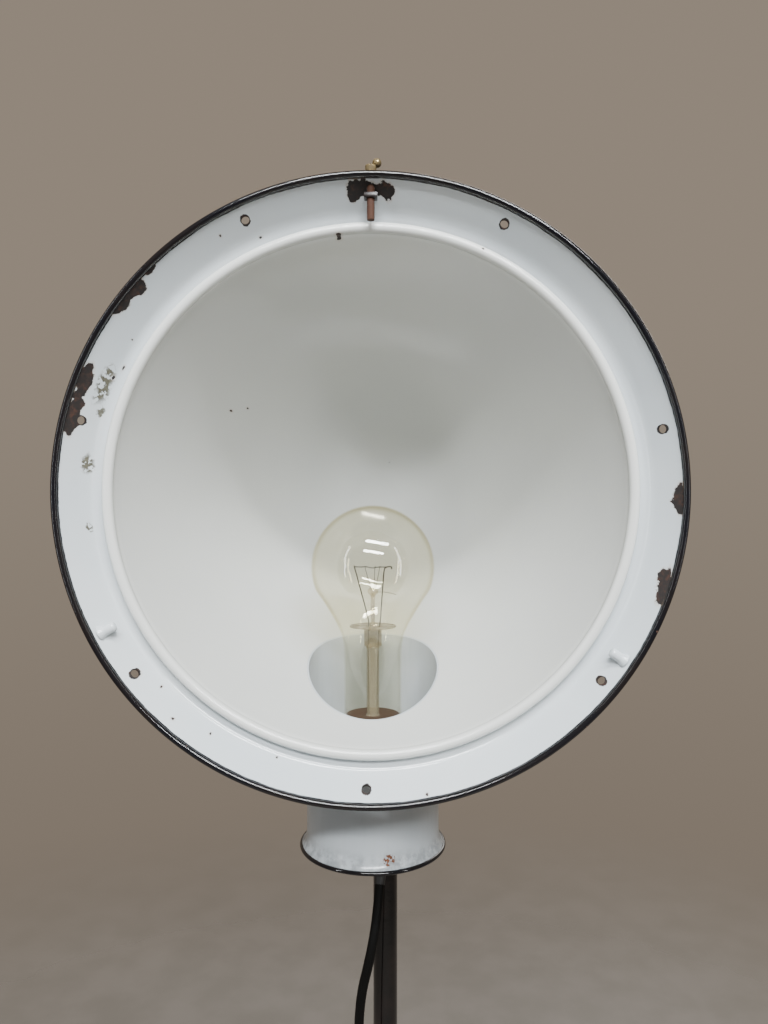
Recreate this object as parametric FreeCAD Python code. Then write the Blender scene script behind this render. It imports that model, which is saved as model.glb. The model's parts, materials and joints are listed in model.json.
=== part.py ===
"""Enamelled floor-standing surgical light: round reflector on a sliding, turning and tilting mast.

Millimetres. The origin is on the floor under the mast's axis, +Z is up and the lamp faces -Y.
Each sub-part is one node, written to parts/NODE.step.
"""
import FreeCAD, Part
import math
import os

V = FreeCAD.Vector

# Where the main lines lie
TILT_Z = 1150.0            # height of the tilt axis, which runs along X, and of the reflector's axis
HEAD_X = -10.0             # the head hangs beside the mast, so its centre plane is off to one side
RIM_Y = -320.0             # plane of the front rim
NECK_Y = -216.0            # axis of the lamp neck and the bulb

# Reflector and housing, both parabolic
DISH_APEX = 260.6          # depth of the reflector's inner face behind the rim plane
DISH_FOCAL = 31.3          # focal length
DISH_MOUTH_R = 172.0       # where the bowl meets its bead
REFLECTOR_SHEET = 1.0
HOUSING_GAP = 7.0          # reflector's inner face to housing's inner face
HOUSING_SHEET = 1.2
BEAD_R = 174.8
BEAD_DEPTH = 20.0
BEAD_WIRE_R = 3.6

# Front rim and the trough behind it
RIM_R = 205.0
RIM_WIRE_R = 2.2
WALL_ANGLE = 40.0          # trough wall against the axis, degrees
TROUGH_DEPTH = 23.0
TROUGH_CURVE_R = 7.0
MOUTH_R = 178.6            # housing's mouth, which the bead drops into
BEND_R = 0.3
VENT_R = 2.75
VENT_AT_R = 194.5
VENT_COUNT = 7
VENT_START = 12.0
PEG_R = 3.25
PEG_INNER_R = 187.0
PEG_DEPTH = 8.5
PEG_ANGLES = (-33.8, -152.2)

# Thumb screw that locks the front glass
LOCK_DEPTH = 9.5
LOCK_SHANK_R = 2.5
LOCK_TIP_R = 176.0
LOCK_TOP_R = 209.0
LOCK_BALL = (4.0, 213.0)   # centre of the ball, beside and above the head's axis
LOCK_BALL_R = 3.0
LOCK_NUT_WIDTH = 8.6
LOCK_NUT_DEPTH = 7.3
LOCK_NUT_SPAN = (189.9, 192.9)

# Lamp neck
NECK_R = 50.6
NECK_SHEET = 1.2
NECK_FOOT_Z = 881.0
NECK_FLARE_R = 56.0
NECK_FLARE_H = 12.0
NECK_WIRE_R = 1.5
SEAM = 0.1                 # open seam between pressed parts
COVER_Z = 886.0
COVER_SHEET = 1.2
GROMMET_Z = 962.0
GROMMET_R = 6.5

# Bulb, heights below the reflector's axis
BULB_BALL_R = 47.5
BULB_BALL_Z = -56.0
BULB_NECK_R = 22.0
BULB_END_Z = -176.0
BULB_GLASS = 1.0
CAP_TOP_Z = -172.0
CAP_COLLAR_Z = -186.0
CAP_THREAD_END_Z = -208.0
CAP_TIP_Z = -213.5
CAP_R = 22.9
THREAD_R = 19.8
MICA_Z = -102.0
BUTTON_Z = -75.0
FILAMENT_Z = -56.0

# Lamp socket
SOCKET_TOP_Z = -187.0
SOCKET_FLOOR_Z = -232.0
SOCKET_END_Z = -252.0
SOCKET_R = 28.0
SOCKET_SHELL_R = 19.95
BRACKET_SHEET = 2.0
BRACKET_WIDTH = 24.0
BRACKET_REAR_Y = -170.5
SOCKET_SCREW_R = 2.0

# Knuckle between head and mast
LUG_R = 28.0
LUG_HALF = 5.0
WASHER_T = 1.0
TILT_BOLT_R = 6.0
RUNNING = 0.05             # radial clearance of a turning or sliding fit
SLEEVE_R = 17.0
SLEEVE_Z = (1100.0, 1119.0)
SPIGOT_R = 11.0
SWIVEL_SCREW_Z = 1108.0
SWIVEL_SCREW_R = 3.0
RIVET_RING_R = 30.0
RIVET_R = 2.5
RIVET_HEAD_T = 2.5
PLATE_R = 42.0
PLATE_T = 5.0

# Mast, column and base
MAST_R = 12.5
MAST_BORE_R = 10.5
MAST_Z = (130.0, 1095.0)
COLUMN_R = 17.0
COLUMN_BORE_R = 14.5
COLUMN_Z = (14.0, 522.0)
COLLAR_R = 24.0
COLLAR_Z = (500.0, 550.0)
BUSH_R = 15.5
CLAMP_Z = 536.0
CLAMP_R = 4.0
BASE_R = 210.0
BASE_TOP_Z = 74.0
PAD_T = 4.0

# Mains cord
CORD_R = 4.75
SPOUT_START = V(0, -6, 832)
SPOUT_END = V(-4, -32, 786)
RELIEF_LENGTH = 24.0
COIL_CENTRE = V(-145, -243, 0)
COIL_MID_R = 52.0
COIL_TOP_Z = 28.5
CORD_ROUTE = [
    V(-15, -64, 703), V(-24, -54, 663), V(-27, -42, 618), V(-26, -37, 566),
    V(-32, -35, 505), V(-37, -38, 438), V(-40, -39, 370), V(-47, -42, 304), V(-51, -47, 242),
    V(-60, -50, 186), V(-76, -57, 134), V(-102, -61, 92), V(-136, -68, 62), V(-171, -80, 45),
    V(-199, -104, 27), V(-211, -140, 8), V(-210, -182, 4.75), V(-201.75, -224, 4.75),
]
TAIL_ROUTE = [V(-145, -299.75, 23.75), V(-117, -300, 21), V(-93, -296, 14), V(-67, -293.92, 14)]
PLUG_DIRECTION = V(1, 0.08, 0)


# ---------------------------------------------------------------- general shapes

def solid_of(shape):
    """The shape with its faces turned outwards."""
    if shape.Volume < 0:
        shape.reverse()
    return shape


def rod(start, end, radius):
    """A cylinder from one point to another."""
    along = end - start
    return Part.makeCylinder(radius, along.Length, start, along)


def taper(start, end, start_radius, end_radius):
    """A cone frustum from one point to another."""
    along = end - start
    return Part.makeCone(start_radius, end_radius, along.Length, start, along)


def pipe(start, end, outer, inner):
    """A tube from one point to another."""
    return rod(start, end, outer).cut(rod(start, end, inner))


def tube(outer, inner, low, high):
    """A tube standing on the mast's axis."""
    return pipe(V(0, 0, low), V(0, 0, high), outer, inner)


def line(start, end):
    return Part.LineSegment(start, end).toShape()


def arc(start, middle, end):
    return Part.Arc(start, middle, end).toShape()


def spun(edges, centre, axis):
    """Revolve a closed outline once round a line."""
    face = Part.Face(Part.Wire(edges))
    return solid_of(face.revolve(centre, axis, 360))


def turned(outline, x=0.0, y=0.0, z=0.0):
    """Revolve a polygon of (radius, height) corners round a vertical line."""
    corners = [V(x + radius, y, z + height) for radius, height in outline]
    face = Part.Face(Part.makePolygon(corners + corners[:1]))
    return solid_of(face.revolve(V(x, y, 0), V(0, 0, 1), 360))


def nearest_solid(shape, point):
    """The one solid of a cut shape that lies closest to a point."""
    return min(shape.Solids, key=lambda piece: (piece.CenterOfMass - point).Length)


def star_grip(centre, axis, radius, thickness, lobes=6):
    """A hand knob: a round hub with rounded lobes."""
    axis = V(axis).normalize()
    side = axis.cross(V(0, 0, 1) if abs(axis.z) < 0.9 else V(1, 0, 0)).normalize()
    up = axis.cross(side)
    grip = Part.makeCylinder(radius * 0.78, thickness, centre, axis)
    for k in range(lobes):
        turn = 2 * math.pi * k / lobes
        lobe = centre + (side * math.cos(turn) + up * math.sin(turn)) * radius * 0.75
        grip = grip.fuse(Part.makeCylinder(radius * 0.25, thickness, lobe, axis))
    return grip.removeSplitter()


# ---------------------------------------------------------------- shapes on the reflector's axis

HEAD_CENTRE = V(HEAD_X, 0, TILT_Z)
HEAD_AXIS = V(0, 1, 0)


def at(radius, depth):
    """A point of an outline: radius from the reflector's axis, depth behind the rim plane."""
    return V(HEAD_X + radius, RIM_Y + depth, TILT_Z)


def round_head(radius, depth, degrees):
    """The same point turned round the reflector's axis, counter-clockwise seen from the front."""
    turn = math.radians(degrees)
    across = radius * math.cos(turn)
    up = radius * math.sin(turn)
    return V(HEAD_X + across, RIM_Y + depth, TILT_Z + up)


def dish_point(radius, offset):
    """A point of the parabola, moved outwards along its normal."""
    slope = radius / (2 * DISH_FOCAL)
    length = math.hypot(slope, 1.0)
    depth = DISH_APEX - radius ** 2 / (4 * DISH_FOCAL)
    return at(radius + offset * slope / length, depth + offset / length)


def dish_curve(offset, mouth_radius=DISH_MOUTH_R, steps=10):
    """The offset parabola from the mouth to the axis."""
    radii = [mouth_radius * (1 - k / steps) for k in range(steps + 1)]
    curve = Part.BSplineCurve()
    curve.interpolate([dish_point(radius, offset) for radius in radii])
    return curve.toShape()


def dish_layer(inner, outer, mouth_radius=DISH_MOUTH_R):
    """The solid between two offsets of the parabola."""
    inside = dish_curve(inner, mouth_radius)
    outside = dish_curve(outer, mouth_radius)
    edges = [
        inside,
        line(dish_point(0, inner), dish_point(0, outer)),
        outside,
        line(dish_point(mouth_radius, outer), dish_point(mouth_radius, inner)),
    ]
    return spun(edges, HEAD_CENTRE, HEAD_AXIS)


def dish_space(offset):
    """Everything inside an offset of the parabola."""
    mouth = dish_point(DISH_MOUTH_R, offset)
    mouth_centre = V(HEAD_X, mouth.y, TILT_Z)
    edges = [
        dish_curve(offset),
        line(dish_point(0, offset), mouth_centre),
        line(mouth_centre, mouth),
    ]
    return spun(edges, HEAD_CENTRE, HEAD_AXIS)


def wire_ring(radius, depth, wire_radius):
    """A round wire bent to a ring about the reflector's axis."""
    return Part.makeTorus(radius, wire_radius, V(HEAD_X, RIM_Y + depth, TILT_Z), HEAD_AXIS)


def neck_drill():
    """The round hole that the neck passes through."""
    return rod(V(HEAD_X, NECK_Y, 860), V(HEAD_X, NECK_Y, 1110), NECK_R + SEAM)


# ---------------------------------------------------------------- head shells

class Trough:
    """Corners of the sheet between the rim and the housing's mouth, front face and back face."""

    def __init__(self):
        angle = math.radians(WALL_ANGLE)
        self.wall = (-math.sin(angle), math.cos(angle))
        self.normal = (-math.cos(angle), -math.sin(angle))
        self.wire_radius = RIM_R - RIM_WIRE_R
        half = HOUSING_SHEET / 2
        reach = math.sqrt(RIM_WIRE_R ** 2 - half ** 2)
        self.front = self.from_wire(reach, half)
        self.back = self.from_wire(reach, -half)
        self.between = self.from_wire(RIM_WIRE_R, 0)
        self.curve_depth = TROUGH_DEPTH - TROUGH_CURVE_R
        rise = self.curve_depth - self.front[1] - TROUGH_CURVE_R * self.normal[1]
        run = rise / self.wall[1]
        self.curve_radius = self.front[0] + run * self.wall[0] + TROUGH_CURVE_R * self.normal[0]

    def from_wire(self, along, across):
        """A point measured from the rim wire's centre, along and across the wall."""
        radius = self.wire_radius + along * self.wall[0] + across * self.normal[0]
        depth = RIM_WIRE_R + along * self.wall[1] + across * self.normal[1]
        return (radius, depth)

    def on_curve(self, radius, part):
        """A point of the trough's curve, from the wall (part 0) to the floor (part 1)."""
        turn = math.radians(WALL_ANGLE) * (1 - part) + math.radians(90) * part
        return at(self.curve_radius + radius * math.cos(turn), self.curve_depth + radius * math.sin(turn))

    def curve(self, radius):
        """The trough's curve as an arc from the wall to the floor."""
        return arc(self.on_curve(radius, 0), self.on_curve(radius, 0.5), self.on_curve(radius, 1))


def bend_arc(radius, centre_radius, centre_depth):
    """A quarter turn of sheet from the trough's floor to the mouth."""
    middle = radius * math.sqrt(0.5)
    return arc(
        at(centre_radius, centre_depth - radius),
        at(centre_radius - middle, centre_depth - middle),
        at(centre_radius - radius, centre_depth),
    )


def housing_blank():
    """Rim wall, trough and parabolic body as one spun sheet, without its holes."""
    trough = Trough()
    inner = HOUSING_GAP
    outer = HOUSING_GAP + HOUSING_SHEET
    bend = BEND_R + HOUSING_SHEET
    bend_radius = MOUTH_R + bend
    bend_depth = TROUGH_DEPTH + bend
    back_curve_r = TROUGH_CURVE_R + HOUSING_SHEET
    edges = [
        line(at(*trough.front), trough.on_curve(TROUGH_CURVE_R, 0)),
        trough.curve(TROUGH_CURVE_R),
        line(trough.on_curve(TROUGH_CURVE_R, 1), at(bend_radius, TROUGH_DEPTH)),
        bend_arc(bend, bend_radius, bend_depth),
        line(at(MOUTH_R, bend_depth), dish_point(DISH_MOUTH_R, inner)),
        dish_curve(inner),
        line(dish_point(0, inner), dish_point(0, outer)),
        dish_curve(outer),
        line(dish_point(DISH_MOUTH_R, outer), at(bend_radius - BEND_R, bend_depth)),
        bend_arc(BEND_R, bend_radius, bend_depth),
        line(at(bend_radius, TROUGH_DEPTH + HOUSING_SHEET), trough.on_curve(back_curve_r, 1)),
        trough.curve(back_curve_r),
        line(trough.on_curve(back_curve_r, 0), at(*trough.back)),
        arc(at(*trough.back), at(*trough.between), at(*trough.front)),
    ]
    return spun(Part.__sortEdges__(edges), HEAD_CENTRE, HEAD_AXIS)


def vent_drills():
    """Ventilation holes, square to the trough's wall."""
    angle = math.radians(WALL_ANGLE)
    trough = Trough()
    depth = trough.front[1] + (trough.front[0] - VENT_AT_R) / math.tan(angle)
    drills = []
    for k in range(VENT_COUNT):
        degrees = VENT_START + 360.0 * k / VENT_COUNT
        reach = 6.0
        inside = round_head(VENT_AT_R - reach * math.cos(angle), depth - reach * math.sin(angle), degrees)
        outside = round_head(VENT_AT_R + reach * math.cos(angle), depth + reach * math.sin(angle), degrees)
        drills.append(rod(inside, outside, VENT_R))
    return drills


def lock_axis_point(radius):
    """A point on the locking screw's axis, which stands straight up over the head."""
    return round_head(radius, LOCK_DEPTH, 90)


def housing():
    lock_hole = rod(lock_axis_point(180), lock_axis_point(206), LOCK_SHANK_R + 0.2)
    holes = vent_drills() + [neck_drill(), lock_hole]
    holes += [rivet_rod(RIVET_R, spot) for spot in rivet_spots()]
    return housing_blank().cut(Part.makeCompound(holes))


def reflector():
    bowl = dish_layer(0, REFLECTOR_SHEET, mouth_radius=173.2)
    bead = wire_ring(BEAD_R, BEAD_DEPTH, BEAD_WIRE_R)
    return bowl.fuse(bead).removeSplitter().cut(neck_drill())


def reflector_clips():
    """Spacer blocks that carry the reflector inside the housing."""
    gap = dish_layer(REFLECTOR_SHEET + SEAM, HOUSING_GAP - SEAM)
    clips = []
    for degrees in (45, 135, 205, 335):
        block = Part.makeBox(60, 14, 16, V(100, -240, -8))
        block.rotate(V(0, 0, 0), V(0, 1, 0), -degrees)
        block.translate(V(HEAD_X, 0, TILT_Z))
        clips.append(block.common(gap))
    return Part.makeCompound(clips)


def glass_pegs(shell):
    """Two fixed pegs that the front glass rests on."""
    pegs = []
    for degrees in PEG_ANGLES:
        blank = rod(round_head(PEG_INNER_R, PEG_DEPTH, degrees), round_head(199, PEG_DEPTH, degrees), PEG_R)
        pegs.append(nearest_solid(blank.cut(shell), round_head(PEG_INNER_R, PEG_DEPTH, degrees)))
    return Part.makeCompound(pegs)


def lock_nut(shell):
    """Plate nut inside the trough's wall."""
    low, high = LOCK_NUT_SPAN
    corner = lock_axis_point(low) - V(LOCK_NUT_WIDTH / 2, LOCK_NUT_DEPTH / 2, 0)
    plate = Part.makeBox(LOCK_NUT_WIDTH, LOCK_NUT_DEPTH, high - low, corner)
    plate = plate.cut(rod(lock_axis_point(low - 1), lock_axis_point(high + 1), LOCK_SHANK_R + RUNNING))
    return nearest_solid(plate.cut(shell), lock_axis_point(low))


def lock_screw():
    return rod(lock_axis_point(LOCK_TIP_R), lock_axis_point(LOCK_TOP_R), LOCK_SHANK_R)


def lock_lever():
    """Bent arm and ball that a finger turns the locking screw by."""
    across, up = LOCK_BALL
    ball_centre = V(HEAD_X + across, RIM_Y + LOCK_DEPTH, TILT_Z + up)
    collar = rod(lock_axis_point(LOCK_TOP_R - 3), lock_axis_point(LOCK_TOP_R + 2), LOCK_SHANK_R + 1.2)
    arm = rod(lock_axis_point(LOCK_TOP_R + 0.5), ball_centre, 1.5)
    ball = Part.makeSphere(LOCK_BALL_R, ball_centre)
    return collar.fuse([arm, ball]).cut(lock_screw())


# ---------------------------------------------------------------- lamp neck

def lamp_neck():
    inner = NECK_R - NECK_SHEET
    bend_z = NECK_FOOT_Z + NECK_FLARE_H
    edge = NECK_FLARE_R - NECK_WIRE_R
    foot = NECK_FOOT_Z + NECK_WIRE_R
    top = 1062.0

    def at_neck(radius, height):
        return V(HEAD_X + radius, NECK_Y, height)

    edges = [
        line(at_neck(inner, top), at_neck(inner, bend_z)),
        arc(at_neck(inner, bend_z), at_neck(inner + 1.1, bend_z - 6), at_neck(edge - 0.5, foot - 0.5)),
        line(at_neck(edge - 0.5, foot - 0.5), at_neck(edge + 0.5, foot + 0.5)),
        arc(at_neck(edge + 0.5, foot + 0.5), at_neck(NECK_R + 1.1, bend_z - 5.4), at_neck(NECK_R, bend_z)),
        line(at_neck(NECK_R, bend_z), at_neck(NECK_R, top)),
        line(at_neck(NECK_R, top), at_neck(inner, top)),
    ]
    sleeve = spun(edges, V(HEAD_X, NECK_Y, 0), V(0, 0, 1))
    holes = [rod(V(HEAD_X, -172, GROMMET_Z), V(HEAD_X, -155, GROMMET_Z), GROMMET_R)]
    holes += socket_screw_holes()
    sleeve = sleeve.cut(dish_space(0)).cut(neck_rim())
    return nearest_solid(sleeve.cut(Part.makeCompound(holes)), V(HEAD_X, NECK_Y, NECK_FOOT_Z))


def neck_rim():
    """Rolled edge round the neck's foot."""
    centre = V(HEAD_X, NECK_Y, NECK_FOOT_Z + NECK_WIRE_R)
    return Part.makeTorus(NECK_FLARE_R - NECK_WIRE_R, NECK_WIRE_R, centre, V(0, 0, 1))


def neck_cover():
    """Perforated plate that closes the neck's foot."""
    middle = V(HEAD_X, NECK_Y, COVER_Z)
    plate = rod(middle, middle + V(0, 0, COVER_SHEET), NECK_R - NECK_SHEET - SEAM)
    holes = []
    for ring_radius, count in ((18, 6), (33, 12)):
        for k in range(count):
            turn = 2 * math.pi * k / count
            spot = middle + V(ring_radius * math.cos(turn), ring_radius * math.sin(turn), -1)
            holes.append(rod(spot, spot + V(0, 0, 4), 3.5))
    return plate.cut(Part.makeCompound(holes))


def neck_grommet(neck):
    """Rubber ring round the lead's hole in the back of the neck."""
    centre = V(HEAD_X, 0, GROMMET_Z)
    outside = rod(centre + V(0, -167.0, 0), centre + V(0, -160.5, 0), 9.5)
    inside = rod(centre + V(0, -171.5, 0), centre + V(0, -167.0, 0), GROMMET_R)
    hole = rod(centre + V(0, -175, 0), centre + V(0, -158, 0), 4.3)
    return outside.fuse(inside).cut(hole).cut(neck)


# ---------------------------------------------------------------- bulb and socket

def bulb_point(radius, height):
    """A point beside the bulb's axis, its height measured from the reflector's axis."""
    return V(HEAD_X + radius, NECK_Y, TILT_Z + height)


def bulb_side(inset):
    """Glass outline from the crown to the end of the neck, inset by the glass's thickness."""
    ball = BULB_BALL_R - inset
    neck = BULB_NECK_R - inset
    crown = bulb_point(0, BULB_BALL_Z + ball)
    waist = math.radians(-22)
    shoulder = bulb_point(ball * math.cos(waist), BULB_BALL_Z + ball * math.sin(waist))
    cheek = math.radians(34)
    middle = bulb_point(ball * math.cos(cheek), BULB_BALL_Z + ball * math.sin(cheek))
    curve = Part.BSplineCurve()
    curve.interpolate(
        Points=[shoulder, bulb_point(32.8 - inset, -90.8), bulb_point(24.2 - inset, -106.0),
                bulb_point(neck, -122.0)],
        InitialTangent=V(math.sin(waist), 0, -math.cos(waist)),
        FinalTangent=V(0, 0, -1),
    )
    return [
        arc(crown, middle, shoulder),
        curve.toShape(),
        line(bulb_point(neck, -122.0), bulb_point(neck, BULB_END_Z)),
    ]


def bulb_glass():
    crown = bulb_point(0, BULB_BALL_Z + BULB_BALL_R)
    outside = bulb_side(0)
    inside = bulb_side(BULB_GLASS)
    ends = [
        line(crown, crown - V(0, 0, BULB_GLASS)),
        line(bulb_point(BULB_NECK_R, BULB_END_Z), bulb_point(BULB_NECK_R - BULB_GLASS, BULB_END_Z)),
    ]
    edges = Part.__sortEdges__(outside + ends + inside)
    return spun(edges, V(HEAD_X, NECK_Y, 0), V(0, 0, 1))


def bulb_turned(outline):
    return turned(outline, x=HEAD_X, y=NECK_Y, z=TILT_Z)


def bulb_cap():
    """Brass screw cap: plain collar, shoulder and rounded thread."""
    pitch = 6.35
    thread = []
    height = CAP_COLLAR_Z - 4.0
    while height - pitch > CAP_THREAD_END_Z:
        thread += [(THREAD_R, height - 1.2), (THREAD_R, height - 2.4), (THREAD_R - 1.3, height - 4.2)]
        height -= pitch
    outer = [(CAP_R, CAP_TOP_Z), (CAP_R, CAP_COLLAR_Z), (THREAD_R - 1.0, CAP_COLLAR_Z - 4.0)]
    outer += thread + [(THREAD_R - 2.5, CAP_THREAD_END_Z), (12.0, CAP_THREAD_END_Z)]
    inner = [(12.0, CAP_THREAD_END_Z + 1.0), (THREAD_R - 3.5, CAP_THREAD_END_Z + 1.0)]
    inner += [(THREAD_R - 2.3, CAP_COLLAR_Z - 2.0), (BULB_NECK_R + SEAM, BULB_END_Z - 1.0)]
    inner += [(BULB_NECK_R + SEAM, CAP_TOP_Z)]
    return bulb_turned(outer + inner)


def bulb_insulator():
    """Black glass ring between the thread and the tip."""
    return bulb_turned([
        (5.0, CAP_THREAD_END_Z), (12.0, CAP_THREAD_END_Z), (THREAD_R - 3.0, CAP_THREAD_END_Z),
        (8.0, CAP_TIP_Z + 2.0), (5.0, CAP_TIP_Z + 2.0),
    ])


def bulb_tip():
    return bulb_turned([
        (0, CAP_THREAD_END_Z), (5.0, CAP_THREAD_END_Z), (5.0, CAP_TIP_Z + 1),
        (4.0, CAP_TIP_Z), (0, CAP_TIP_Z),
    ])


def bulb_stem():
    """Glass foot, flare and centre rod that carry the wires."""
    foot = bulb_turned([
        (3.4, -116.0), (5.4, -118.0), (5.4, -150.0), (9.0, -164.0), (16.0, -171.0), (20.8, -173.0),
        (20.8, -174.0), (15.5, -172.6), (7.8, -165.0), (4.2, -150.0), (3.4, -140.0),
    ])
    pinch = Part.makeBox(14.0, 4.4, 16.0, bulb_point(-7.0, -119.0) - V(0, 2.2, 0))
    rod_up = rod(bulb_point(0, -103.0), bulb_point(0, BUTTON_Z), 1.6)
    button = Part.makeSphere(4.1, bulb_point(0, BUTTON_Z))
    return foot.fuse([pinch, rod_up, button]).removeSplitter()


def mica_disc(stem, wires):
    """Heat shield across the neck's mouth."""
    disc = rod(bulb_point(0, MICA_Z), bulb_point(0, MICA_Z + 0.6), 18.0)
    return disc.cut(stem).cut(wires)


def bent_wire(points, radius):
    """A thin wire through a few points, with round knuckles at its corners."""
    wire = rod(points[0], points[1], radius)
    for start, end in zip(points[1:-1], points[2:]):
        wire = wire.fuse([Part.makeSphere(radius, start), rod(start, end, radius)])
    return wire


def lead_wires(stem):
    """Two wires that carry the current from the pinch to the filament's ends."""
    left = bent_wire([bulb_point(-3.5, -104), bulb_point(-3.0, -96), bulb_point(-14.3, FILAMENT_Z)], 0.6)
    right = bent_wire([bulb_point(4.5, -104), bulb_point(5.8, -96), bulb_point(9.0, FILAMENT_Z - 1.4)], 0.6)
    return Part.makeCompound([left.cut(stem), right.cut(stem)])


def filament_supports(stem):
    """Fine hooks from the button up to the filament."""
    hooks = []
    for foot_x, top_x in ((-1.4, -6.0), (0.8, 1.5), (1.8, 5.2)):
        hook = rod(bulb_point(foot_x, BUTTON_Z + 2), bulb_point(top_x, FILAMENT_Z - 0.6), 0.35)
        hooks.append(hook.cut(stem))
    forward = V(0, -2.4, 0)
    spare = rod(bulb_point(2.5, BUTTON_Z) + forward, bulb_point(18.0, BUTTON_Z - 2.0) + forward, 0.35)
    return Part.makeCompound(hooks + [spare.cut(stem)])


def filament(wires):
    """Coiled filament, as the rod that the coil fills."""
    coil = rod(bulb_point(-14.3, FILAMENT_Z), bulb_point(15.1, FILAMENT_Z + 0.5), 0.55)
    return coil.cut(wires)


def socket_body():
    """Porcelain lamp holder."""
    bore = SOCKET_SHELL_R + 1.0
    return bulb_turned([
        (bore, SOCKET_TOP_Z - 2), (bore + 1.6, SOCKET_TOP_Z), (SOCKET_R - 2, SOCKET_TOP_Z),
        (SOCKET_R, SOCKET_TOP_Z - 2),
        (SOCKET_R, SOCKET_END_Z + 14), (SOCKET_R + 4, SOCKET_END_Z + 12), (SOCKET_R + 4, SOCKET_END_Z),
        (5.0, SOCKET_END_Z), (5.0, SOCKET_FLOOR_Z), (bore, SOCKET_FLOOR_Z),
    ])


def socket_shell():
    """Brass screw shell inside the porcelain."""
    return bulb_turned([
        (SOCKET_SHELL_R, SOCKET_TOP_Z - 5), (SOCKET_SHELL_R + 0.9, SOCKET_TOP_Z - 5),
        (SOCKET_SHELL_R + 0.9, SOCKET_FLOOR_Z), (8.0, SOCKET_FLOOR_Z), (8.0, SOCKET_FLOOR_Z + 0.8),
        (SOCKET_SHELL_R, SOCKET_FLOOR_Z + 0.8),
    ])


def socket_contact():
    """Sprung centre contact and its terminal stud."""
    return bulb_turned([
        (0, CAP_TIP_Z), (4.0, CAP_TIP_Z), (4.0, CAP_TIP_Z - 2), (3.0, CAP_TIP_Z - 3),
        (3.0, SOCKET_FLOOR_Z + 2), (4.9, SOCKET_FLOOR_Z), (4.9, SOCKET_END_Z), (0, SOCKET_END_Z),
    ])


def socket_screw_spots():
    """Where the bracket's screws pass through the neck's rear wall."""
    return [V(HEAD_X + across, NECK_Y + 49.9, TILT_Z - 218.0) for across in (-7.5, 7.5)]


def socket_screw_holes():
    """Drills for those screws, long enough for the neck's wall and the bracket."""
    half = V(0, 12, 0)
    return [rod(spot - half, spot + half, SOCKET_SCREW_R + RUNNING) for spot in socket_screw_spots()]


def socket_bracket():
    """Angle plate under the holder, turned up along the neck's rear wall."""
    low = TILT_Z + SOCKET_END_Z - BRACKET_SHEET
    left = HEAD_X - BRACKET_WIDTH / 2
    shelf = Part.makeBox(BRACKET_WIDTH, 70.0, BRACKET_SHEET, V(left, NECK_Y - 24.5, low))
    upright = Part.makeBox(BRACKET_WIDTH, BRACKET_SHEET, 44.0, V(left, BRACKET_REAR_Y - BRACKET_SHEET, low))
    reach = rod(V(HEAD_X, NECK_Y, low - 1), V(HEAD_X, NECK_Y, low + 60), NECK_R - NECK_SHEET - SEAM)
    angle = shelf.fuse(upright).common(reach)
    holes = socket_screw_holes()
    holes.append(rod(bulb_point(0, SOCKET_END_Z - 5), bulb_point(0, SOCKET_END_Z + 5), 6.0))
    return angle.cut(Part.makeCompound(holes)).removeSplitter()


def socket_screws(neck):
    """Two screws with nuts through the bracket and the neck's rear wall."""
    screws = []
    for spot in socket_screw_spots():
        shank = rod(spot - V(0, 10, 0), spot + V(0, 2, 0), SOCKET_SCREW_R)
        head = rod(spot + V(0, -1.5, 0), spot + V(0, 3.2, 0), 4.0).cut(
            rod(V(HEAD_X, NECK_Y, 900), V(HEAD_X, NECK_Y, 960), NECK_R))
        screws.append(shank.fuse(head).removeSplitter().cut(neck))
    return Part.makeCompound(screws)


# ---------------------------------------------------------------- bracket behind the head

def rivet_spots():
    """Angles of the rivets round the bracket's plate."""
    return (45, 135, 225, 315)


def rivet_rod(radius, degrees):
    """A cylinder along the reflector's axis at one rivet."""
    return rod(round_head(RIVET_RING_R, 215, degrees), round_head(RIVET_RING_R, 290, degrees), radius)


def plate_layers():
    """Offsets of the dish at the plate's inner face and its outer face."""
    face = HOUSING_GAP + HOUSING_SHEET + SEAM
    return face, face + PLATE_T


def head_bracket():
    """Dished plate, arm and tilt lug, one casting."""
    face, back = plate_layers()
    plate = dish_layer(face, back, mouth_radius=60).common(
        rod(at(0, 220), at(0, 300), PLATE_R))
    lug_x = -LUG_HALF - WASHER_T
    lug_start = V(lug_x - 2 * LUG_HALF, 0, TILT_Z)
    lug = rod(lug_start, V(lug_x, 0, TILT_Z), LUG_R)
    arm = Part.makeBox(2 * LUG_HALF, 46, 30, V(lug_start.x, -60, TILT_Z - 15))
    boss = rod(V(lug_start.x + LUG_HALF, -60, TILT_Z), V(lug_start.x + LUG_HALF, -31, TILT_Z), 15.0)
    neck = lug.fuse([arm, boss]).cut(dish_space(face + 1))
    casting = plate.fuse(neck)
    holes = [rivet_rod(RIVET_R, spot) for spot in rivet_spots()]
    holes.append(rod(lug_start - V(1, 0, 0), V(0, 0, TILT_Z), TILT_BOLT_R))
    return casting.cut(Part.makeCompound(holes)).removeSplitter()


def bracket_rivets():
    """Rivets through the plate and the housing, with a head on each side."""
    back = plate_layers()[1]
    inner_end = HOUSING_GAP - RIVET_HEAD_T
    outer_end = back + RIVET_HEAD_T
    shank_layer = dish_layer(inner_end, outer_end, mouth_radius=60)
    inner_layer = dish_layer(inner_end, HOUSING_GAP - SEAM, mouth_radius=60)
    outer_layer = dish_layer(back + SEAM, outer_end, mouth_radius=60)
    rivets = []
    for spot in rivet_spots():
        shank = rivet_rod(RIVET_R, spot).common(shank_layer)
        inner_head = rivet_rod(4.5, spot).common(inner_layer)
        outer_head = rivet_rod(5.0, spot).common(outer_layer)
        rivets.append(shank.fuse([inner_head, outer_head]).removeSplitter())
    return Part.makeCompound(rivets)


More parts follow.
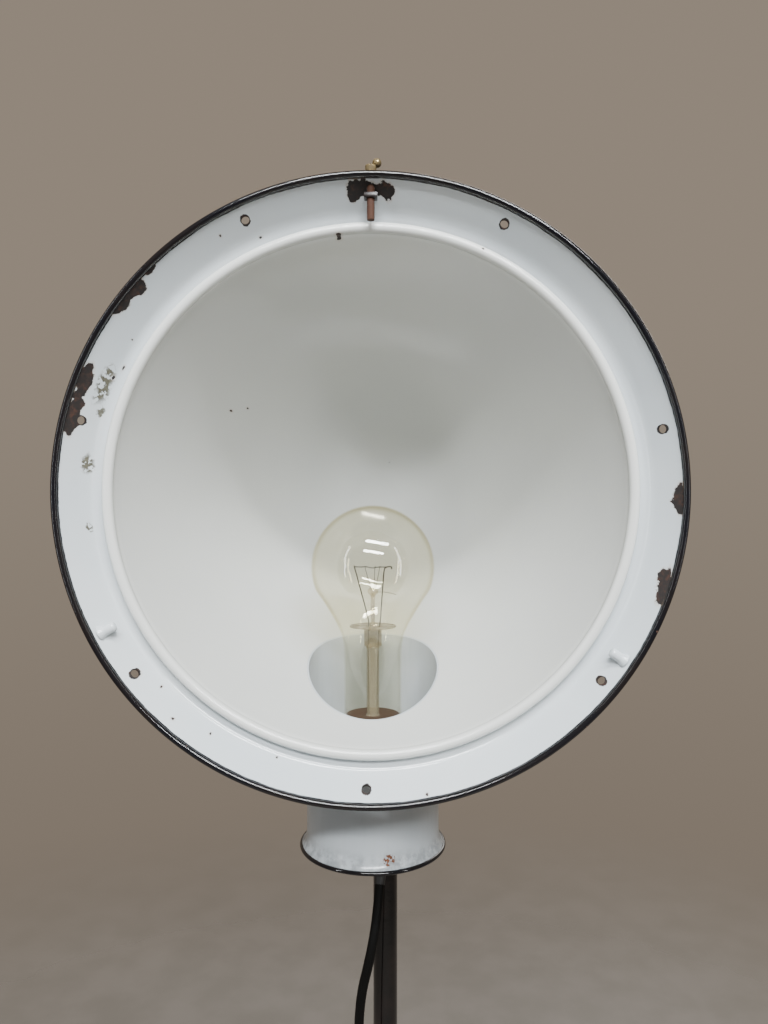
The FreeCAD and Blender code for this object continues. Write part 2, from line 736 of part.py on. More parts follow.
def tilt_washer():
    return pipe(V(-LUG_HALF - WASHER_T, 0, TILT_Z), V(-LUG_HALF, 0, TILT_Z), LUG_R - 3, TILT_BOLT_R + 0.3)


def tilt_bolt():
    """Round-headed bolt through both lugs, threaded for the tilt knob."""
    lug_face = -3 * LUG_HALF - WASHER_T
    head = rod(V(lug_face - 5, 0, TILT_Z), V(lug_face, 0, TILT_Z), 11.0)
    shank = rod(V(lug_face - 1, 0, TILT_Z), V(24, 0, TILT_Z), TILT_BOLT_R)
    slot = Part.makeBox(3, 24, 2.4, V(lug_face - 6, -12, TILT_Z - 1.2))
    return head.fuse(shank).cut(slot).removeSplitter()


# ---------------------------------------------------------------- swivel head on the mast

def swivel_head():
    """Socket that turns on the mast's spigot, with the tilt lug on top."""
    low, high = SLEEVE_Z
    sleeve = rod(V(0, 0, low), V(0, 0, high), SLEEVE_R)
    stem = Part.makeBox(2 * LUG_HALF, 32, 34, V(-LUG_HALF, -16, high - 4))
    lug = rod(V(-LUG_HALF, 0, TILT_Z), V(LUG_HALF, 0, TILT_Z), LUG_R)
    bores = [
        rod(V(0, 0, low - 1), V(0, 0, high - 2.6), SPIGOT_R + RUNNING),
        rod(V(-20, 0, TILT_Z), V(20, 0, TILT_Z), TILT_BOLT_R + RUNNING),
        rod(V(0, 9, SWIVEL_SCREW_Z), V(0, 20, SWIVEL_SCREW_Z), SWIVEL_SCREW_R + RUNNING),
        rod(V(0, -9, SWIVEL_SCREW_Z), V(0, -20, SWIVEL_SCREW_Z), 5.0),
    ]
    return sleeve.fuse([stem, lug]).cut(Part.makeCompound(bores)).removeSplitter()


def swivel_screw():
    """Thumb screw that locks the turn."""
    return rod(V(0, SPIGOT_R + RUNNING, SWIVEL_SCREW_Z), V(0, 30, SWIVEL_SCREW_Z), SWIVEL_SCREW_R)


def swivel_wing():
    """Wing grip on the thumb screw."""
    hub = rod(V(0, 22, SWIVEL_SCREW_Z), V(0, 34, SWIVEL_SCREW_Z), 5.5)
    wings = Part.makeBox(30, 7, 3.2, V(-15, 25.5, SWIVEL_SCREW_Z - 1.6))
    tips = [Part.makeCylinder(1.6, 7, V(side * 15, 25.5, SWIVEL_SCREW_Z), V(0, 1, 0)) for side in (-1, 1)]
    return hub.fuse([wings] + tips).cut(swivel_screw()).removeSplitter()


def lead_gland():
    """Threaded outlet for the head's lead, in front of the swivel head."""
    spot = V(0, 0, SWIVEL_SCREW_Z)
    barrel = rod(spot + V(0, -12, 0), spot + V(0, -24, 0), 5.0)
    collar = rod(spot + V(0, -17.6, 0), spot + V(0, -22, 0), 7.5)
    bore = rod(spot + V(0, -10, 0), spot + V(0, -30, 0), 4.0)
    return barrel.fuse(collar).cut(bore).removeSplitter()


def tilt_grip():
    """Hand knob that clamps the tilt."""
    grip = star_grip(V(8, 0, TILT_Z), V(1, 0, 0), 22.0, 17.0)
    return grip.cut(rod(V(7, 0, TILT_Z), V(30, 0, TILT_Z), 9.0))


def tilt_nut():
    """Brass bush moulded into the tilt knob."""
    nut = rod(V(LUG_HALF, 0, TILT_Z), V(27, 0, TILT_Z), 9.0)
    return nut.cut(rod(V(LUG_HALF - 1, 0, TILT_Z), V(24.4, 0, TILT_Z), TILT_BOLT_R + RUNNING))


# ---------------------------------------------------------------- mast

def spout_direction():
    return (SPOUT_END - SPOUT_START).normalize()


def mast_tube():
    shell = tube(MAST_R, MAST_BORE_R, *MAST_Z)
    return shell.cut(rod(SPOUT_START - spout_direction() * 4, SPOUT_END, 5.0))


def mast_foot():
    """Guide plug at the mast's lower end."""
    low = MAST_Z[0]
    return turned([
        (0, low - 20), (COLUMN_BORE_R - RUNNING - 1, low - 20), (COLUMN_BORE_R - RUNNING, low - 19),
        (COLUMN_BORE_R - RUNNING, low - 1), (COLUMN_BORE_R - RUNNING - 1, low), (MAST_BORE_R, low),
        (MAST_BORE_R, low + 22), (0, low + 22),
    ])


def mast_cap():
    """Plug in the mast's top with the spigot that the swivel head turns on."""
    top = MAST_Z[1]
    return turned([
        (4.5, top - 25), (MAST_BORE_R, top - 25), (MAST_BORE_R, top), (15.5, top), (15.5, top + 3),
        (14.5, top + 4), (SPIGOT_R, top + 4), (SPIGOT_R, SLEEVE_Z[1] - 4), (SPIGOT_R - 1, SLEEVE_Z[1] - 3),
        (4.5, SLEEVE_Z[1] - 3),
    ])


def swivel_washer():
    """Fibre ring between the mast's cap and the swivel head."""
    return tube(15.0, SPIGOT_R + 0.2, MAST_Z[1] + 4, SLEEVE_Z[0])


def cord_spout():
    """Cast collar round the mast with the cord's outlet."""
    collar = rod(V(0, 0, 808), V(0, 0, 830), MAST_R + 3.0)
    outlet = rod(SPOUT_START, SPOUT_END, 8.0)
    lip = rod(SPOUT_END - spout_direction() * 5, SPOUT_END, 9.2)
    casting = collar.fuse([outlet, lip])
    casting = casting.cut(rod(V(0, 0, 780), V(0, 0, 860), MAST_R))
    casting = casting.cut(rod(SPOUT_START, SPOUT_END + spout_direction(), 5.0))
    return nearest_solid(casting, SPOUT_END).removeSplitter()


def strain_relief():
    """Rubber taper that the cord leaves the outlet through."""
    start = SPOUT_END
    return taper(start, start + spout_direction() * RELIEF_LENGTH, 6.8, CORD_R + 0.35)


# ---------------------------------------------------------------- column and base

def column_tube():
    return tube(COLUMN_R, COLUMN_BORE_R, *COLUMN_Z)


def clamp_point(distance):
    """A point on the clamp screw's axis, out from the mast along +X."""
    return V(distance, 0, CLAMP_Z)


def height_collar():
    """Cast collar on the column's top, with the clamp screw's boss."""
    low, high = COLLAR_Z
    body = turned([
        (0, low), (COLLAR_R - 2, low), (COLLAR_R, low + 2),
        (COLLAR_R, high - 4), (COLLAR_R - 4, high), (0, high),
    ])
    boss = rod(clamp_point(10), clamp_point(36), 9.0)
    bores = [
        rod(V(0, 0, low - 1), V(0, 0, COLUMN_Z[1]), COLUMN_R),
        rod(V(0, 0, low), V(0, 0, high + 1), BUSH_R),
        rod(clamp_point(8), clamp_point(40), CLAMP_R + RUNNING),
    ]
    return body.fuse(boss).cut(Part.makeCompound(bores)).removeSplitter()


def collar_bush():
    """Bronze sleeve that guides the mast."""
    sleeve = tube(BUSH_R, MAST_R + RUNNING, COLUMN_Z[1], COLLAR_Z[1])
    return sleeve.cut(rod(clamp_point(8), clamp_point(20), CLAMP_R + RUNNING))


def height_screw():
    return rod(clamp_point(MAST_R + RUNNING), clamp_point(52), CLAMP_R)


def height_grip():
    grip = star_grip(clamp_point(38), V(1, 0, 0), 22.0, 18.0)
    return grip.cut(height_screw())


def base_casting():
    """Round iron foot, crowned towards its hub."""
    def at_base(radius, height):
        return V(radius, 0, height)

    edges = [
        line(at_base(0, PAD_T), at_base(BASE_R - 4, PAD_T)),
        arc(at_base(BASE_R - 4, PAD_T), at_base(BASE_R - 1.2, PAD_T + 1.2), at_base(BASE_R, PAD_T + 4)),
        line(at_base(BASE_R, PAD_T + 4), at_base(BASE_R, 11)),
        arc(at_base(BASE_R, 11), at_base(BASE_R - 1.6, 14.8), at_base(BASE_R - 5.5, 16.5)),
        arc(at_base(BASE_R - 5.5, 16.5), at_base(130, 23.5), at_base(58, 28)),
        arc(at_base(58, 28), at_base(40, 35), at_base(31, 50)),
        line(at_base(31, 50), at_base(29, BASE_TOP_Z - 2)),
        line(at_base(29, BASE_TOP_Z - 2), at_base(27, BASE_TOP_Z)),
        line(at_base(27, BASE_TOP_Z), at_base(COLUMN_R, BASE_TOP_Z)),
        line(at_base(COLUMN_R, BASE_TOP_Z), at_base(COLUMN_R, COLUMN_Z[0])),
        line(at_base(COLUMN_R, COLUMN_Z[0]), at_base(0, COLUMN_Z[0])),
        line(at_base(0, COLUMN_Z[0]), at_base(0, PAD_T)),
    ]
    body = spun(edges, V(0, 0, 0), V(0, 0, 1))
    return body.cut(base_screws())


def base_pad():
    return turned([(0, 0), (BASE_R - 6, 0), (BASE_R - 5, 1), (BASE_R - 5, PAD_T), (0, PAD_T)])


def base_screws():
    """Three screws in the hub that hold the column."""
    screws = []
    for degrees in (30, 150, 270):
        turn = math.radians(degrees)
        out = V(math.cos(turn), math.sin(turn), 0)
        spot = V(0, 0, 62)
        shank = rod(spot + out * COLUMN_R, spot + out * 31, 3.5)
        head = rod(spot + out * 30.5, spot + out * 34.5, 5.5)
        screws.append(shank.fuse(head).removeSplitter())
    return Part.makeCompound(screws)


# ---------------------------------------------------------------- mains cord

def cord_path(points):
    """Straight runs joined by tangent arcs, each as large as its two runs allow."""
    edges = []
    radii = []
    here = points[0]
    for before, corner, after in zip(points, points[1:], points[2:]):
        into = (corner - before)
        out = (after - corner)
        half_turn = into.getAngle(out) / 2
        reach = 0.45 * min(into.Length, out.Length)
        radii.append(reach / math.tan(half_turn))
        into.normalize()
        out.normalize()
        start = corner - into * reach
        end = corner + out * reach
        sag = radii[-1] * (1 / math.cos(half_turn) - 1)
        middle = corner + (out - into).normalize() * sag
        edges += [line(here, start), arc(start, middle, end)]
        here = end
    edges.append(line(here, points[-1]))
    return Part.Wire(edges), radii


def cord_tube(name, points):
    """A round tube along a route, checked against its section times its length."""
    path, radii = cord_path(points)
    section = Part.Wire(Part.makeCircle(CORD_R, points[0], points[1] - points[0]))
    body = solid_of(path.makePipeShell([section], True, False))
    expected = math.pi * CORD_R ** 2 * path.Length
    print(name, "length", round(path.Length), "radii", [round(radius) for radius in radii])
    print(name, "volume against section times length", round(body.Volume / expected, 4), body.isValid())
    return body


def mains_cord():
    """The cord from the strain relief, first straight on, to the wound cord on the floor."""
    exit_point = SPOUT_END + spout_direction() * RELIEF_LENGTH
    straight_on = exit_point + spout_direction() * 30
    return cord_tube("mains_cord", [exit_point, straight_on] + CORD_ROUTE)


def cord_coil():
    """Outer shape of the wound cord lying on the floor."""
    half = 2 * CORD_R
    low = COIL_MID_R - half
    high = COIL_MID_R + half
    soft = 3.0
    return turned([
        (low + soft, 0), (high - soft, 0), (high, soft), (high, COIL_TOP_Z - soft),
        (high - soft, COIL_TOP_Z), (low + soft, COIL_TOP_Z), (low, COIL_TOP_Z - soft), (low, soft),
    ], x=COIL_CENTRE.x, y=COIL_CENTRE.y)


def cord_tail():
    return cord_tube("cord_tail", TAIL_ROUTE)


def plug_point(distance):
    """A point on the plug's axis, out from where the cord enters it."""
    return TAIL_ROUTE[-1] + V(PLUG_DIRECTION).normalize() * distance


def plug_body():
    """Round two-pin plug lying on the floor."""
    sleeve = taper(plug_point(0), plug_point(16), 7.5, 10.0)
    shoulder = taper(plug_point(16), plug_point(24), 10.0, 14.0)
    face = rod(plug_point(24), plug_point(42), 14.0)
    return sleeve.fuse([shoulder, face]).removeSplitter()


def plug_pins():
    side = V(PLUG_DIRECTION).normalize().cross(V(0, 0, 1)) * 9.5
    pins = []
    for sign in (-1, 1):
        start = plug_point(42) + side * sign
        pins.append(rod(start, plug_point(61) + side * sign, 2.4))
    return Part.makeCompound(pins)


# ---------------------------------------------------------------- every node

def build():
    shell = housing()
    neck = lamp_neck()
    stem = bulb_stem()
    wires = lead_wires(stem)
    return {
        "housing": shell,
        "rim_bead": wire_ring(RIM_R - RIM_WIRE_R, RIM_WIRE_R, RIM_WIRE_R),
        "reflector": reflector(),
        "reflector_clips": reflector_clips(),
        "glass_pegs": glass_pegs(shell),
        "lock_nut": lock_nut(shell),
        "lock_screw": lock_screw(),
        "lock_lever": lock_lever(),
        "lamp_neck": neck,
        "neck_rim": neck_rim(),
        "neck_cover": neck_cover(),
        "neck_grommet": neck_grommet(neck),
        "bulb_glass": bulb_glass(),
        "bulb_cap": bulb_cap(),
        "bulb_insulator": bulb_insulator(),
        "bulb_tip": bulb_tip(),
        "bulb_stem": stem,
        "mica_disc": mica_disc(stem, wires),
        "lead_wires": wires,
        "filament_supports": filament_supports(stem),
        "filament": filament(wires),
        "socket_body": socket_body(),
        "socket_shell": socket_shell(),
        "socket_contact": socket_contact(),
        "socket_bracket": socket_bracket(),
        "socket_screws": socket_screws(neck),
        "head_bracket": head_bracket(),
        "bracket_rivets": bracket_rivets(),
        "tilt_bolt": tilt_bolt(),
        "tilt_washer": tilt_washer(),
        "tilt_grip": tilt_grip(),
        "tilt_nut": tilt_nut(),
        "swivel_head": swivel_head(),
        "swivel_washer": swivel_washer(),
        "swivel_screw": swivel_screw(),
        "swivel_wing": swivel_wing(),
        "lead_gland": lead_gland(),
        "mast_tube": mast_tube(),
        "mast_cap": mast_cap(),
        "mast_foot": mast_foot(),
        "cord_spout": cord_spout(),
        "strain_relief": strain_relief(),
        "column_tube": column_tube(),
        "height_collar": height_collar(),
        "collar_bush": collar_bush(),
        "height_screw": height_screw(),
        "height_grip": height_grip(),
        "base_casting": base_casting(),
        "base_pad": base_pad(),
        "base_screws": base_screws(),
        "mains_cord": mains_cord(),
        "cord_coil": cord_coil(),
        "cord_tail": cord_tail(),
        "plug_body": plug_body(),
        "plug_pins": plug_pins(),
    }


os.makedirs("parts", exist_ok=True)
for node, shape in build().items():
    if not shape.isValid() or not shape.Solids:
        print("check", node, "valid", shape.isValid(), "solids", len(shape.Solids))
    shape.exportStep("parts/" + node + ".step")
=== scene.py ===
"""Looks of the enamelled surgical light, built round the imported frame. Metres; the lamp faces -Y."""
import json
import math

import bmesh
import bpy
from mathutils import Matrix, Quaternion, Vector


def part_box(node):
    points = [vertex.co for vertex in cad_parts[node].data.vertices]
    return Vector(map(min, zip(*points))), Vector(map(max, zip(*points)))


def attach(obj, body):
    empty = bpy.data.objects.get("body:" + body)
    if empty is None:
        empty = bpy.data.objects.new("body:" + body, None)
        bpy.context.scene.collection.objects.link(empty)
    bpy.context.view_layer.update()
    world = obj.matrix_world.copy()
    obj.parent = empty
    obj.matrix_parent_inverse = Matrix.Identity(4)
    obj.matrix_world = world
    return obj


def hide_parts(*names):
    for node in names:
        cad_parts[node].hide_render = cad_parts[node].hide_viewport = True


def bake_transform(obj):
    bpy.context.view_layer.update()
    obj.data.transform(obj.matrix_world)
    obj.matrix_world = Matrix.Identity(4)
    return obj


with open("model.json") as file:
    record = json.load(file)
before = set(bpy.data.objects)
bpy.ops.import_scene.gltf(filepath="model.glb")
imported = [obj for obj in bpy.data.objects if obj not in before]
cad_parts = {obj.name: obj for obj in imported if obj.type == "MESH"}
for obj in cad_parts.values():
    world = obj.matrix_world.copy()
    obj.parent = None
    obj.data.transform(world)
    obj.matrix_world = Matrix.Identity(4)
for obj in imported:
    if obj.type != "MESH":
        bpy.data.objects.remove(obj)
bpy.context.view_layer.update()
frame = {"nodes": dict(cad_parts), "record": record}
NODES = frame["nodes"]
SLOT_OF = {row["node"]: row["material_slot"] for row in frame["record"]["subparts"]}

# ---------------------------------------------------------------- places, read from the frame

rim_low, rim_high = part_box("rim_bead")
HEAD = Vector(((rim_low.x + rim_high.x) / 2, rim_low.y, (rim_low.z + rim_high.z) / 2))
RIM_R = (rim_high.x - rim_low.x) / 2
RIM_WIRE_R = (rim_high.y - rim_low.y) / 2

neck_low, neck_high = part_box("neck_rim")
NECK = Vector(((neck_low.x + neck_high.x) / 2, (neck_low.y + neck_high.y) / 2, neck_low.z))
NECK_FLARE_R = (neck_high.x - neck_low.x) / 2
NECK_WIRE_R = (neck_high.z - neck_low.z) / 2

glass_low, glass_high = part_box("bulb_glass")
BULB = Vector((NECK.x, NECK.y, HEAD.z))      # on the bulb's axis, level with the reflector's axis
BULB_R = (glass_high.x - glass_low.x) / 2
BULB_END = glass_low.z - HEAD.z
BULB_BALL = glass_high.z - BULB_R - HEAD.z

# ---------------------------------------------------------------- sizes of the sheet parts

DISH_APEX = 0.2606
DISH_FOCAL = 0.0313
DISH_MOUTH_R = 0.172
REFLECTOR_SHEET = 0.001
HOUSING_GAP = 0.007
HOUSING_SHEET = 0.0012
BEAD_R = 0.1748
BEAD_DEPTH = 0.020
BEAD_WIRE_R = 0.0036
BEAD_MEET_R = 0.1725                         # where the bowl runs into its bead
WALL_ANGLE = math.radians(40)
TROUGH_DEPTH = 0.023
TROUGH_CURVE_R = 0.007
MOUTH_R = 0.1786
VENT_R = 0.00275
VENT_AT_R = 0.1945
VENT_COUNT = 7
VENT_START = math.radians(12)
LOCK_DEPTH = 0.0095
LOCK_HOLE_R = 0.0027
NECK_R = 0.0506
NECK_SHEET = 0.0012
NECK_FLARE_H = 0.012
SEAM = 0.0001
CORD_R = 0.00475

RIM_LAP = 0.0004                             # how deep the trough's wall runs into the rim's roll
MOUTH_BEND_R = 0.0003                        # the smaller radius of the bend into the body
FLARE_GAP = 0.0004                           # between the flare's two faces, besides the sheet
PEG_R = 0.00325
PEG_DEPTH = 0.0085                           # behind the rim
PEG_TIP_R = 0.187                            # from the reflector's axis to a peg's tip
PEG_LENGTH = 0.0097
PEG_TURNS = (-33.8, -152.2)                  # degrees from +X
FOOT_ROD_R = 0.0016
CEMENT_R = 0.0206
FILAMENT_HEIGHT = -0.056                     # from the reflector's axis, as all heights in the bulb
FILAMENT_COIL_R = 0.00032
FILAMENT_WIRE_R = 0.00013
HOOK_WIRE_R = 0.00022
SPARE_HOOK_R = 0.0002
LEAD_WIRE_R = 0.00048
FLOOR_R = 2.4

ROUND = 256                                  # segments of the large turned parts
NECK_ROUND = 160                             # segments of the lamp neck's parts


# ---------------------------------------------------------------- mesh tools

def new_piece(name, mesh):
    piece = bpy.data.objects.new(name, mesh)
    bpy.context.scene.collection.objects.link(piece)
    return piece


def smooth(mesh, degrees=35):
    """Smooth shading with crisp edges where faces meet at more than the angle."""
    mesh.shade_smooth()
    mesh.set_sharp_from_angle(angle=math.radians(degrees))


def finish_mesh(name, bm, degrees=35):
    bmesh.ops.remove_doubles(bm, verts=bm.verts, dist=1e-7)
    bmesh.ops.recalc_face_normals(bm, faces=bm.faces)
    mesh = bpy.data.meshes.new(name)
    bm.to_mesh(mesh)
    bm.free()
    smooth(mesh, degrees)
    return new_piece(name, mesh)


def frame_of(axis):
    """Two directions square to an axis, the first along +X where it can be."""
    axis = Vector(axis).normalized()
    side = Vector((1, 0, 0)) if abs(axis.x) < 0.9 else Vector((0, 1, 0))
    side = (side - axis * side.dot(axis)).normalized()
    return axis, side, side.cross(axis) if axis.y > 0.9 else axis.cross(side)


def lathe(name, outline, origin, axis=(0, 0, 1), segments=96, closed=True, degrees=35):
    """Spin an outline of (radius, distance along the axis) points."""
    axis, side, up = frame_of(axis)
    bm = bmesh.new()
    rings = []
    for radius, along in outline:
        centre = Vector(origin) + axis * along
        if radius < 1e-6:
            rings.append([bm.verts.new(centre)])
            continue
        ring = []
        for k in range(segments):
            turn = 2 * math.pi * k / segments
            ring.append(bm.verts.new(centre + (side * math.cos(turn) + up * math.sin(turn)) * radius))
        rings.append(ring)
    pairs = list(zip(rings, rings[1:]))
    if closed:
        pairs.append((rings[-1], rings[0]))
    for first, second in pairs:
        for k in range(segments):
            corners = [
                first[k % len(first)], first[(k + 1) % len(first)],
                second[(k + 1) % len(second)], second[k % len(second)],
            ]
            corners = list(dict.fromkeys(corners))
            if len(corners) > 2:
                bm.faces.new(corners)
    return finish_mesh(name, bm, degrees)


def arc_points(centre, radius, start, end, steps=8):
    """Points of an arc in an outline's plane, angles in degrees from the radius direction."""
    points = []
    for k in range(steps + 1):
        turn = math.radians(start + (end - start) * k / steps)
        points.append((centre[0] + radius * math.cos(turn), centre[1] + radius * math.sin(turn)))
    return points


def curve_points(start, control, end, steps=6):
    """Points of a quadratic curve in an outline's plane."""
    points = []
    for k in range(steps + 1):
        share = k / steps
        weights = ((1 - share) ** 2, 2 * share * (1 - share), share ** 2)
        points.append(tuple(
            weights[0] * a + weights[1] * b + weights[2] * c for a, b, c in zip(start, control, end)))
    return points


def cut(piece, cutter):
    """Cut one closed mesh with another, and keep the result as the piece's mesh."""
    modifier = piece.modifiers.new("cut", "BOOLEAN")
    modifier.operation = "DIFFERENCE"
    modifier.object = cutter
    modifier.solver = "EXACT"
    bpy.context.view_layer.update()
    mesh = bpy.data.meshes.new_from_object(piece.evaluated_get(bpy.context.evaluated_depsgraph_get()))
    piece.modifiers.clear()
    piece.data = mesh
    bpy.data.objects.remove(cutter)
    smooth(mesh)
    return piece


def joined(name, pieces):
    """Several meshes as one piece."""
    bm = bmesh.new()
    for piece in pieces:
        piece.data.transform(piece.matrix_world)
        bm.from_mesh(piece.data)
        bpy.data.objects.remove(piece)
    mesh = bpy.data.meshes.new(name)
    bm.to_mesh(mesh)
    bm.free()
    return new_piece(name, mesh)


def rod_between(name, start, end, radius, segments=24, end_radius=None):
    """A closed cylinder or taper from one point to another."""
    along = Vector(end) - Vector(start)
    last = radius if end_radius is None else end_radius
    outline = [(0, 0), (radius, 0), (last, along.length), (0, along.length)]
    return lathe(name, outline, start, along, segments, closed=False)


def line_curve(name, points, order=3, resolution=8):
    """An open NURBS line through free space, with the points as its control points."""
    curve = bpy.data.curves.new(name, "CURVE")
    curve.dimensions = "3D"
    curve.resolution_u = resolution
    spline = curve.splines.new("NURBS")
    spline.points.add(len(points) - 1)
    for spot, point in zip(spline.points, points):
        spot.co = (*point, 1)
    spline.order_u = order
    spline.use_endpoint_u = True
    return new_piece(name, curve)


def to_mesh(piece):
    """The mesh of a curve object, as evaluated."""
    bpy.context.view_layer.update()
    return bpy.data.meshes.new_from_object(piece.evaluated_get(bpy.context.evaluated_depsgraph_get()))


def wire(name, points, radius, order=2):
    """A round wire along points, as a mesh with closed ends."""
    curve = line_curve(name + "_line", points, order)
    curve.data.bevel_depth = radius
    curve.data.bevel_resolution = 3
    curve.data.use_fill_caps = True
    mesh = to_mesh(curve)
    bpy.data.objects.remove(curve)
    smooth(mesh)
    return new_piece(name, mesh)


# ---------------------------------------------------------------- material tools

class Shader:
    """A node material with short calls for the nodes used here."""

    def __init__(self, name):
        self.material = bpy.data.materials.new(name)
        self.material.use_nodes = True
        self.tree = self.material.node_tree
        self.tree.nodes.clear()
        self.output = self.tree.nodes.new("ShaderNodeOutputMaterial")
        self.place = self.node("ShaderNodeTexCoord").outputs["Object"]

    def node(self, kind, inputs=None, **settings):
        made = self.tree.nodes.new(kind)
        for key, value in settings.items():
            setattr(made, key, value)
        for key, value in (inputs or {}).items():
            self.feed(made.inputs[key], value)
        return made

    def feed(self, socket, value):
        if isinstance(value, bpy.types.NodeSocket):
            self.tree.links.new(value, socket)
        else:
            socket.default_value = value

    def math(self, operation, first, second=0.0):
        return self.node("ShaderNodeMath", {0: first, 1: second}, operation=operation).outputs[0]

    def vector(self, operation, first, second=(0, 0, 0), output="Vector"):
        made = self.node("ShaderNodeVectorMath", {0: first, 1: second}, operation=operation)
        return made.outputs[output]

    def scaled(self, vector, factor):
        made = self.node("ShaderNodeVectorMath", {0: vector, "Scale": factor}, operation="SCALE")
        return made.outputs["Vector"]

    def channel(self, colour, index):
        return self.node("ShaderNodeSeparateColor", {"Color": colour}).outputs[index]

    def axes(self):
        """The place's x, y and z."""
        return self.node("ShaderNodeSeparateXYZ", {"Vector": self.place}).outputs

    def ramp(self, value, low, high, start=0.0, end=1.0):
        """Smooth step from start to end as the value goes from low to high."""
        made = self.node(
            "ShaderNodeMapRange",
            {"Value": value, "From Min": low, "From Max": high, "To Min": start, "To Max": end},
            interpolation_type="SMOOTHSTEP",
        )
        return made.outputs["Result"]

    def noise(self, scale, detail=3.0, rough=0.5, place=None):
        made = self.node(
            "ShaderNodeTexNoise",
            {"Vector": place or self.place, "Scale": scale, "Detail": detail, "Roughness": rough},
        )
        return made.outputs["Fac"]

    def cells(self, scale, place):
        return self.node("ShaderNodeTexVoronoi", {"Vector": place, "Scale": scale})

    def mix(self, factor, first, second):
        made = self.node("ShaderNodeMix", data_type="RGBA")
        self.feed(made.inputs["Factor"], factor)
        for socket, value in zip([s for s in made.inputs if s.type == "RGBA"], (first, second)):
            self.feed(socket, value if isinstance(value, bpy.types.NodeSocket) else (*value, 1))
        return next(s for s in made.outputs if s.type == "RGBA")

    def bump(self, height, distance, normal=None, strength=1.0):
        inputs = {"Height": height, "Distance": distance, "Strength": strength}
        if normal is not None:
            inputs["Normal"] = normal
        return self.node("ShaderNodeBump", inputs).outputs["Normal"]

    def principled(self, **inputs):
        names = {key.replace("_", " "): value for key, value in inputs.items()}
        for key, value in names.items():
            if isinstance(value, tuple) and len(value) == 3:
                names[key] = (*value, 1)
        made = self.node("ShaderNodeBsdfPrincipled", names)
        return made.outputs["BSDF"]

    def surface(self, shader):
        self.tree.links.new(shader, self.output.inputs["Surface"])
        return self.material


# ---------------------------------------------------------------- the light's own places

def head_point(radius, depth, turn=0.0):
    """A point by radius from the reflector's axis, depth behind the rim and turn from +X."""
    return HEAD + Vector((radius * math.cos(turn), depth, radius * math.sin(turn)))


def dish_point(radius, offset):
    """(radius, depth) of the dish's parabola, moved outwards along its normal."""
    slope = radius / (2 * DISH_FOCAL)
    length = math.hypot(slope, 1)
    depth = DISH_APEX - radius ** 2 / (4 * DISH_FOCAL)
    return (radius + offset * slope / length, depth + offset / length)


def dish_line(offset, mouth_radius=DISH_MOUTH_R, steps=44):
    """The dish from its mouth to its middle."""
    points = [dish_point(mouth_radius * (1 - k / steps), offset) for k in range(steps)]
    return points + [(0, DISH_APEX + offset)]


def neck_drill(name):
    """The round hole that the lamp neck passes through."""
    low = (NECK.x, NECK.y, NECK.z - 0.02)
    high = (NECK.x, NECK.y, HEAD.z - 0.04)
    return rod_between(name, low, high, NECK_R + SEAM, NECK_ROUND)


# ---------------------------------------------------------------- enamelled head

def reflector_bowl():
    """Inner bowl and its rolled bead, with the enamel filled in softly between them."""
    bead = (BEAD_R, BEAD_DEPTH)
    meeting = dish_point(BEAD_MEET_R, 0)
    fillet_end = arc_points(bead, BEAD_WIRE_R, 150, 150, 1)[0]
    outline = dish_line(0, BEAD_MEET_R - 0.0012)[::-1]
    outline += curve_points(outline[-1], meeting, fillet_end)[1:]
    outline += arc_points(bead, BEAD_WIRE_R, 150, 472, 30)[1:]
    outline += dish_line(REFLECTOR_SHEET, BEAD_MEET_R)
    bowl = lathe("reflector_bowl", outline, HEAD, (0, 1, 0), ROUND)
    return cut(bowl, neck_drill("reflector_drill"))


def trough_outline():
    """Rim wall, trough floor and body of the housing, as one closed sheet outline."""
    wall = (-math.sin(WALL_ANGLE), math.cos(WALL_ANGLE))
    normal = (-math.cos(WALL_ANGLE), -math.sin(WALL_ANGLE))
    wire_r = RIM_R - RIM_WIRE_R
    half = HOUSING_SHEET / 2
    reach = math.sqrt(RIM_WIRE_R ** 2 - half ** 2) - RIM_LAP
    front = (wire_r + reach * wall[0] + half * normal[0], RIM_WIRE_R + reach * wall[1] + half * normal[1])
    back = (wire_r + reach * wall[0] - half * normal[0], RIM_WIRE_R + reach * wall[1] - half * normal[1])
    curve_depth = TROUGH_DEPTH - TROUGH_CURVE_R
    run = (curve_depth - front[1] - TROUGH_CURVE_R * normal[1]) / wall[1]
    curve = (front[0] + run * wall[0] + TROUGH_CURVE_R * normal[0], curve_depth)
    bend = MOUTH_BEND_R + HOUSING_SHEET
    bend_centre = (MOUTH_R + bend, TROUGH_DEPTH + bend)
    face = [front] + arc_points(curve, TROUGH_CURVE_R, 40, 90, 10)
    face += arc_points(bend_centre, bend, -90, -180, 6) + dish_line(HOUSING_GAP)
    rear = [back] + arc_points(curve, TROUGH_CURVE_R + HOUSING_SHEET, 40, 90, 10)
    rear += arc_points(bend_centre, bend - HOUSING_SHEET, -90, -180, 3)
    rear += dish_line(HOUSING_GAP + HOUSING_SHEET)
    return face + rear[::-1]


def trough_wall_depth(radius):
    """Depth of the trough's wall at a radius."""
    top = RIM_R - RIM_WIRE_R * (1 + math.sin(WALL_ANGLE))
    return RIM_WIRE_R * 1.6 + (top - radius) / math.tan(WALL_ANGLE)


